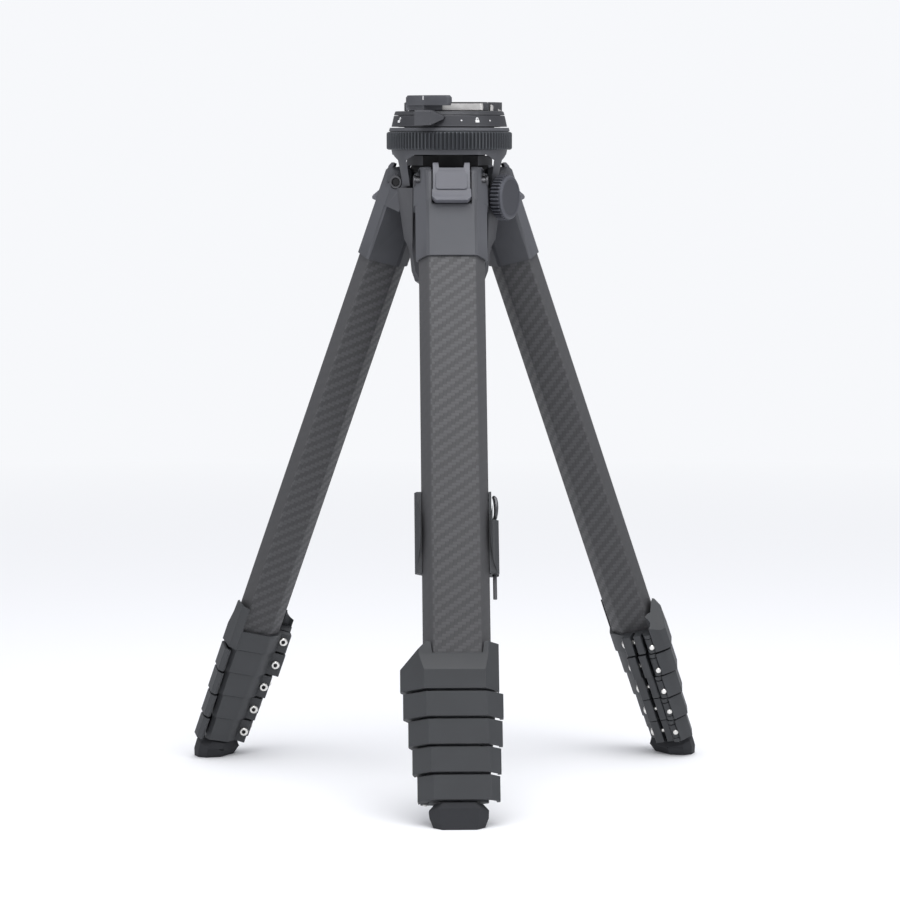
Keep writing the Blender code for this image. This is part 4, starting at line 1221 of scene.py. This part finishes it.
# slots
PAINTED, POLYMER, LINER = "painted_casting", "lock_polymer", "liner_polymer"
STEEL, ANODISED, BARE = "bright_steel", "anodised_dark", "bare_aluminium"
CARBON, RUBBER = "carbon_tube", "foot_rubber"


# ================================================================ placing
def frame_matrix(x, y, z, origin):
    """Matrix with the given axes and an origin in metres."""
    rows = [(x[i], y[i], z[i], origin[i]) for i in range(3)]
    return Matrix((*rows, (0, 0, 0, 1)))


def leg_matrix(azimuth):
    """From a leg's frame to the part's frame."""
    azimuth, lean = radians(azimuth), radians(LEG_ANGLE)
    out = Vector((cos(azimuth), sin(azimuth), 0))
    up = Vector((0, 0, 1))
    down_leg = out * sin(lean) - up * cos(lean)
    normal = out * cos(lean) + up * sin(lean)
    pivot = (out * PIVOT_R + up * (PIVOT_H - PLATE_TOP)) * MM
    return frame_matrix(up.cross(out), normal, down_leg, pivot)


def aim(origin, axis):
    """Matrix that stands +Z along axis at origin (millimetres)."""
    z = Vector(axis).normalized()
    x = Vector((0, 0, 1)).cross(z)
    if x.length < 1e-3:
        x = Vector((1, 0, 0)).cross(z)
    x.normalize()
    return frame_matrix(x, z.cross(x), z, Vector(origin) * MM)


def shift(x, y, z):
    return Matrix.Translation((x * MM, y * MM, z * MM))


def piece(name, mesh, material, body, slot, frame=None, *, bevel=0.0, segments=2, angle=32,
          smooth=35, replaces=None):
    """Edges sharper than angle (degrees) are bevelled, those sharper than smooth shaded sharp.
    """
    if frame is not None:
        mesh = mesh.copy()
        mesh.transform(frame)
    ob = bpy.data.objects.new(name, mesh)
    bpy.context.scene.collection.objects.link(ob)
    if not mesh.materials:
        mesh.materials.append(MATERIALS[material])
    mesh.shade_smooth()
    mesh.set_sharp_from_angle(angle=radians(smooth))
    # stay between the ground and the top of the CAD
    for vert in mesh.vertices:
        vert.co.z = min(max(vert.co.z, -PLATE_TOP * MM + 0.00002), CAD_BOX[1][2] - 0.00002)
    if bevel:
        mod = ob.modifiers.new("edge", "BEVEL")
        mod.width = bevel * MM
        mod.segments = segments
        mod.limit_method = "ANGLE"
        mod.angle_limit = radians(angle)
        mod.harden_normals = True
        mod.use_clamp_overlap = True
    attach(ob, body)
    if replaces:
        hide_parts(replaces)


# ================================================================ legs
CASTING, LATCH, LATCH_PANEL, FOOT = casting_mesh(), latch_mesh(), latch_panel_mesh(), foot_mesh()
TUBES = [tube_mesh(index) for index in range(TUBE_COUNT)]
COLLARS = [(collar_mesh(k), channel_shade_mesh(k), slit_shade_mesh(k)) for k in LOCKS]
LEVERS = [lever_mesh(lock) for lock in LOCKS]
SCREW, SCREW_SOCKET_SHADE = screw_mesh(), socket_shade_mesh()
HINGE_PIN = pin_mesh(1.3, 0.9)
BARREL_NUT = pin_mesh(1.45, 1.3, lip=0.3)
CLAMP_ROD = pin_mesh(1.3, 1.9, sides=18, lip=0.02)
BOLT_SHANK = pin_mesh(3.0, 2 * BOLT_HEAD_T, sides=28, lip=0.05)
BOLT_CAP = bolt_cap_mesh()
# painted shade: a near-black hexagon stands for the shaded hole of each bolt cap's socket
BOLT_SOCKET_SHADE = pin_mesh(2.15, 0.7, sides=6, lip=0.05)


def place_leg_top(prefix, frame):
    """Casting, latch and hinge bolt."""
    top, latch = prefix + "top", prefix + "latch"
    piece(prefix + "casting_fork", CASTING, "casting", top, PAINTED, frame,
          bevel=0.45, segments=3, smooth=13, angle=13, replaces=prefix + "top_casting")
    latch_frame = frame @ shift(0, LATCH_N, 0)
    piece(prefix + "latch_tab", LATCH, "latch", latch, POLYMER, latch_frame,
          bevel=0.45, segments=3, replaces=prefix + "angle_latch")
    piece(prefix + "latch_panel", LATCH_PANEL, "latch", latch, POLYMER, latch_frame,
          bevel=0.3, segments=3)
    piece(prefix + "hinge_bolt", BOLT_SHANK, "bolt", top, STEEL,
          frame @ aim((-BOLT_HEAD_T, 0, 0), (1, 0, 0)), replaces=prefix + "pivot_bolt")
    for sign, side in ((-1, "a"), (1, "b")):
        axis = (sign, 0, 0)
        piece(prefix + "bolt_cap_" + side, BOLT_CAP, "bolt", top, ANODISED,
              frame @ aim((sign * BOLT_HEAD_T, 0, 0), axis))
        # painted shade in the cap's socket
        piece(prefix + "bolt_socket_shade_" + side, BOLT_SOCKET_SHADE, "dark", top, ANODISED,
              frame @ aim((sign * (BOLT_HEAD_T + 0.45), 0, 0), axis))


def place_lock(prefix, frame, body, lock):
    """Collar, clamp screw and cam lever at a tube's foot."""
    number = lock.index + 1

    def part(name, mesh, material, slot, place=None, rides=body, **options):
        matrix = frame @ place if place else frame
        piece("%s%s_%d" % (prefix, name, number), mesh, material, rides, slot, matrix, **options)

    collar, channel_shade, shade = COLLARS[lock.index]
    part("collar", collar, "collar", POLYMER, bevel=0.28)
    # painted shade: near-black floors in the rod channel and the slit
    part("rod_channel_shade", channel_shade, "dark", ANODISED)
    part("slit_shade", shade, "dark", ANODISED)

    middle, along, out, _ = back_left(lock)
    axis = (*along, 0)
    seat = middle + along * (lock.ear_shift + 5.9) + out * lock.screw_out
    part("clamp_screw", SCREW, "screw", STEEL, aim((*seat, lock.screw_s), axis))
    # painted shade: a near-black disc at the bottom of the screw's socket
    socket = seat + along * 0.12
    part("screw_socket_shade", SCREW_SOCKET_SHADE, "dark", ANODISED, aim((*socket, lock.screw_s), axis))
    rod = middle + along * (lock.ear_shift - SLIT_HALF) + out * lock.screw_out
    part("clamp_rod", CLAMP_ROD, "screw", STEEL, aim((*rod, lock.screw_s), axis))

    lever = prefix + "lever_%d" % number
    hinge_t, hinge_n = lock.leg_hinge
    facing = Vector((-0.85, -0.5)).normalized()
    nut = Vector(lock.leg_hinge) + facing * (1.9 if lock.index < 3 else 1.3)
    part("barrel_nut", BARREL_NUT, "screw", STEEL,
         aim((*nut, lock.channel_s), (*facing, 0)), rides=lever)
    part("hinge_pin", HINGE_PIN, "screw", STEEL,
         aim((hinge_t, hinge_n, lock.collar[1] - 0.35), (0, 0, 1)))
    part("cam_lever", LEVERS[lock.index], "lever", POLYMER, shift(hinge_t, hinge_n, 0),
         rides=lever, bevel=0.45, segments=3, smooth=13, angle=13, replaces=lever)


for leg_number, leg_azimuth in enumerate(LEG_AZIMUTHS, 1):
    leg_frame = leg_matrix(leg_azimuth)
    leg = "leg_%d_" % leg_number
    place_leg_top(leg, leg_frame)
    for index, tube in enumerate(TUBES):
        stage = leg + ("top" if index == 0 else "stage_%d" % (index + 1))
        piece(leg + "tube_%d" % (index + 1), tube, "carbon", stage, CARBON, leg_frame,
              smooth=25, replaces=leg + "section_%d" % (index + 1))
        if index < len(LOCKS):
            place_lock(leg, leg_frame, stage, LOCKS[index])
        else:
            piece(leg + "boot", FOOT, "rubber", stage, RUBBER, leg_frame,
                  bevel=0.9, segments=3, smooth=20, angle=20, replaces=leg + "foot")
    if leg_number == 1:
        piece("tool_clip", clip_mesh(), "lever", leg + "top", POLYMER, leg_frame,
              bevel=0.5, segments=3, replaces="tool_holder")
        piece("hex_key_loop", key_mesh(), "bolt", "hex_key", STEEL,
              leg_frame @ shift(20.0, -3.4 + TUBE_OFFSET, 183.6),
              bevel=0.15, segments=1, smooth=60, replaces="hex_key")

# ================================================================ hub, column, head
hub = hub_mesh()
hub.materials.append(MATERIALS["hub"])
hub.materials.append(MATERIALS["dark"])
# painted shade: the crown round the column is coloured near black, where the hub's interior lies in
# shadow
for polygon in hub.polygons:
    centre = polygon.center / MM
    if 320.0 < centre.z + PLATE_TOP < 334.5 and hypot(centre.x, centre.y) < 20.5:
        polygon.material_index = 1
piece("hub_spider", hub, "hub", "hub", PAINTED, bevel=0.5, segments=3, replaces="hub")
# painted shadow: a near-black collar fills the gaps round the column's top
piece("hub_shadow_collar", shadow_collar_mesh(), "dark", "hub", PAINTED, bevel=0.2)
piece("column_tube", column_mesh(), "column", "column", ANODISED,
      bevel=0.5, segments=3, replaces="center_column")
piece("ballast_hook", hook_mesh(), "steel", "column", STEEL,
      bevel=0.2, smooth=50, replaces="column_hook")
piece("neck_cup", neck_mesh(), "casting", "column", PAINTED,
      bevel=0.25, smooth=25, replaces="head_neck")
piece("pan_liner_shell", liner_mesh(26.5, 28.3, 336.1, 341.2), "liner", "pan_liner", LINER,
      bevel=0.2, replaces="pan_liner")
piece("tilt_liner_shell", liner_mesh(24.3, 26.2, 338.2, 341.5), "liner", "tilt_liner", LINER,
      bevel=0.2, replaces="tilt_liner")
piece("deck_ball", platform_mesh(), "deck", "platform", PAINTED,
      bevel=0.3, smooth=25, replaces="platform")
piece("lock_ring_tab", lock_ring_mesh(), "lock", "lock_ring", ANODISED,
      bevel=0.3, smooth=16, angle=20, replaces="lock_ring")
piece("jaw_slider", moving_jaw_mesh(), "deck", "moving_jaw", PAINTED,
      bevel=0.3, replaces="moving_jaw")
piece("dovetail_plate", plate_mesh(), "plate", "platform", BARE,
      bevel=0.25, replaces="camera_plate")
piece("clamp_handle", clamp_lever_mesh(), "clamp", "clamp_lever", ANODISED,
      shift(*CLAMP_PIVOT, 0), bevel=0.45, segments=3, angle=18, replaces="clamp_lever")
piece("knurled_ring", adjust_ring_mesh(), "ring", "adjust_ring", ANODISED,
      smooth=30, replaces="adjust_ring")
knob_turn = Matrix.Rotation(radians(KNOB_AZIMUTH), 4, "Z")
piece("knob_fluted", knob_mesh(), "knob", "column_knob", ANODISED,
      shift(0, 0, KNOB_H - PLATE_TOP) @ knob_turn, smooth=30, replaces="column_knob")

# prints on the lock ring: two dots, a closed padlock and an open one
DOT = arc(0, 0, 0.42, 0, 345, 15)
PADLOCK = rect(-1.15, 1.15, -1.0, 0.25)
SHACKLE = [
    (-0.75, 0.2), (-0.75, 0.75), *arc(0, 0.85, 0.75, 180, 0, 8),
    (0.75, 0.2), (0.35, 0.2), (0.35, 0.8), *arc(0, 0.8, 0.36, 0, 180, 6), (-0.35, 0.2),
]
OPEN_SHACKLE = [(x + 1.1, y + 0.1) for x, y in SHACKLE]
for mark_name, mark_outline, mark_azimuth in (
    ("mark_dot_a", DOT, -79.6),
    ("mark_dot_b", DOT, -46.5),
    ("mark_lock_body", PADLOCK, -62.6),
    ("mark_lock_shackle", SHACKLE, -62.6),
    ("mark_open_body", PADLOCK, -154.0),
    ("mark_open_shackle", OPEN_SHACKLE, -154.0),
):
    piece(mark_name, cone_mark(mark_outline, mark_azimuth), "mark", "lock_ring", ANODISED)

piece("jaw_wedge", wedge_mesh(), "plate", "platform", BARE, bevel=0.06, segments=1)
stop_outline = rect(16.4, 20.2, 356.4 - PLATE_TOP, 360.4 - PLATE_TOP)
piece("jaw_stop", prism(stop_outline, -18.6, -14.0, "y"), "deck", "platform", PAINTED, bevel=0.2)
piece("plate_pad", plate_pad_mesh(), "pad", "platform", RUBBER)
line_outline = [(-14.9, -29.0), (-14.5, -29.05), (-14.4, -27.2), (-14.8, -27.15)]
piece("clamp_mark", prism(line_outline, 362.0 - PLATE_TOP, 364.1 - PLATE_TOP),
      "mark", "clamp_lever", ANODISED)

# ================================================================ studio (metres)
BACKDROP = (0.93, 0.94, 0.965, 1)


def build_floor():
    """Paper floor that fades into the backdrop's colour with distance."""
    bpy.ops.mesh.primitive_plane_add(size=14, location=(0, 0, -PLATE_TOP * MM))
    floor = bpy.context.object
    floor.name = "floor"
    material, tree, paper = new_material("floor_paper")
    place = add(tree, "ShaderNodeTexCoord").outputs["Object"]
    distance = add(tree, "ShaderNodeVectorMath", {0: place}, operation="LENGTH").outputs["Value"]
    # fades between 0.4 m and 2 m from the axis
    fade = ramp(tree, maths(tree, "DIVIDE", distance, 4.0), [(0.10, (0, 0, 0)), (0.50, (1, 1, 1))])
    glow = add(tree, "ShaderNodeEmission", {0: BACKDROP}).outputs[0]
    mixed = add(tree, "ShaderNodeMixShader", {0: fade, 1: paper.outputs[0], 2: glow})
    feed(tree, tree.nodes["Material Output"], {0: mixed.outputs[0]})
    feed(tree, paper, {
        "Base Color": (0.90, 0.905, 0.92, 1),
        "Roughness": 0.7,
        "Specular IOR Level": 0.2,
    })
    floor.data.materials.append(material)


def build_world():
    """Sky lit from above; the camera sees the plain backdrop instead."""
    world = bpy.data.worlds.new("studio")
    bpy.context.scene.world = world
    world.use_nodes = True
    tree = world.node_tree
    sky_light = tree.nodes["Background"]
    direction = add(tree, "ShaderNodeTexCoord").outputs["Generated"]
    height = gained(tree, separate(tree, direction)[2], gain=0.5, base=0.5)
    sky = ramp(tree, height, [
        (0.30, (0.20, 0.205, 0.225)), (0.50, (0.18, 0.185, 0.205)), (0.95, (1.05, 1.06, 1.10)),
    ])
    feed(tree, sky_light, {0: sky})
    plain = add(tree, "ShaderNodeBackground", {0: BACKDROP})
    seen = add(tree, "ShaderNodeLightPath").outputs["Is Camera Ray"]
    inputs = {0: seen, 1: sky_light.outputs[0], 2: plain.outputs[0]}
    mixed = add(tree, "ShaderNodeMixShader", inputs)
    feed(tree, tree.nodes["World Output"], {0: mixed.outputs[0]})


def softbox(name, at, look, power, width=1.0, height=1.0):
    """Rectangular area light at a point, facing another; power in watts."""
    light = bpy.data.lights.new(name, "AREA")
    light.shape = "RECTANGLE"
    light.size = width
    light.size_y = height
    light.energy = power
    ob = bpy.data.objects.new(name, light)
    bpy.context.scene.collection.objects.link(ob)
    ob.location = at
    ob.rotation_euler = (Vector(look) - Vector(at)).to_track_quat("-Z", "Y").to_euler()


def build_camera():
    distance, height = 1.926, (336.0 - PLATE_TOP) * MM
    azimuth, tilt_down = radians(-91.88), 4.7475
    camera = bpy.data.cameras.new("camera")
    camera.sensor_width = 36.0
    camera.lens = 144.588
    camera.shift_x = 0.00077778
    camera.clip_end = 50
    ob = bpy.data.objects.new("camera", camera)
    bpy.context.scene.collection.objects.link(ob)
    ob.location = (distance * cos(azimuth), distance * sin(azimuth), height)
    ob.rotation_euler = (radians(90 - tilt_down), 0, azimuth + radians(90))
    bpy.context.scene.camera = ob


build_floor()
build_world()
softbox("key_top", at=(0.1, -0.55, 1.0), look=(0, 0, -0.12), power=11.5)
softbox("side_right", at=(1.5, -0.9, 0.2), look=(0, 0, -0.2), power=6.0, height=1.4)
softbox("side_left", at=(-1.5, -0.9, 0.2), look=(0, 0, -0.2), power=4.6, height=1.4)
build_camera()
bpy.context.scene.view_settings.view_transform = "Standard"
bpy.context.scene.view_settings.look = "None"
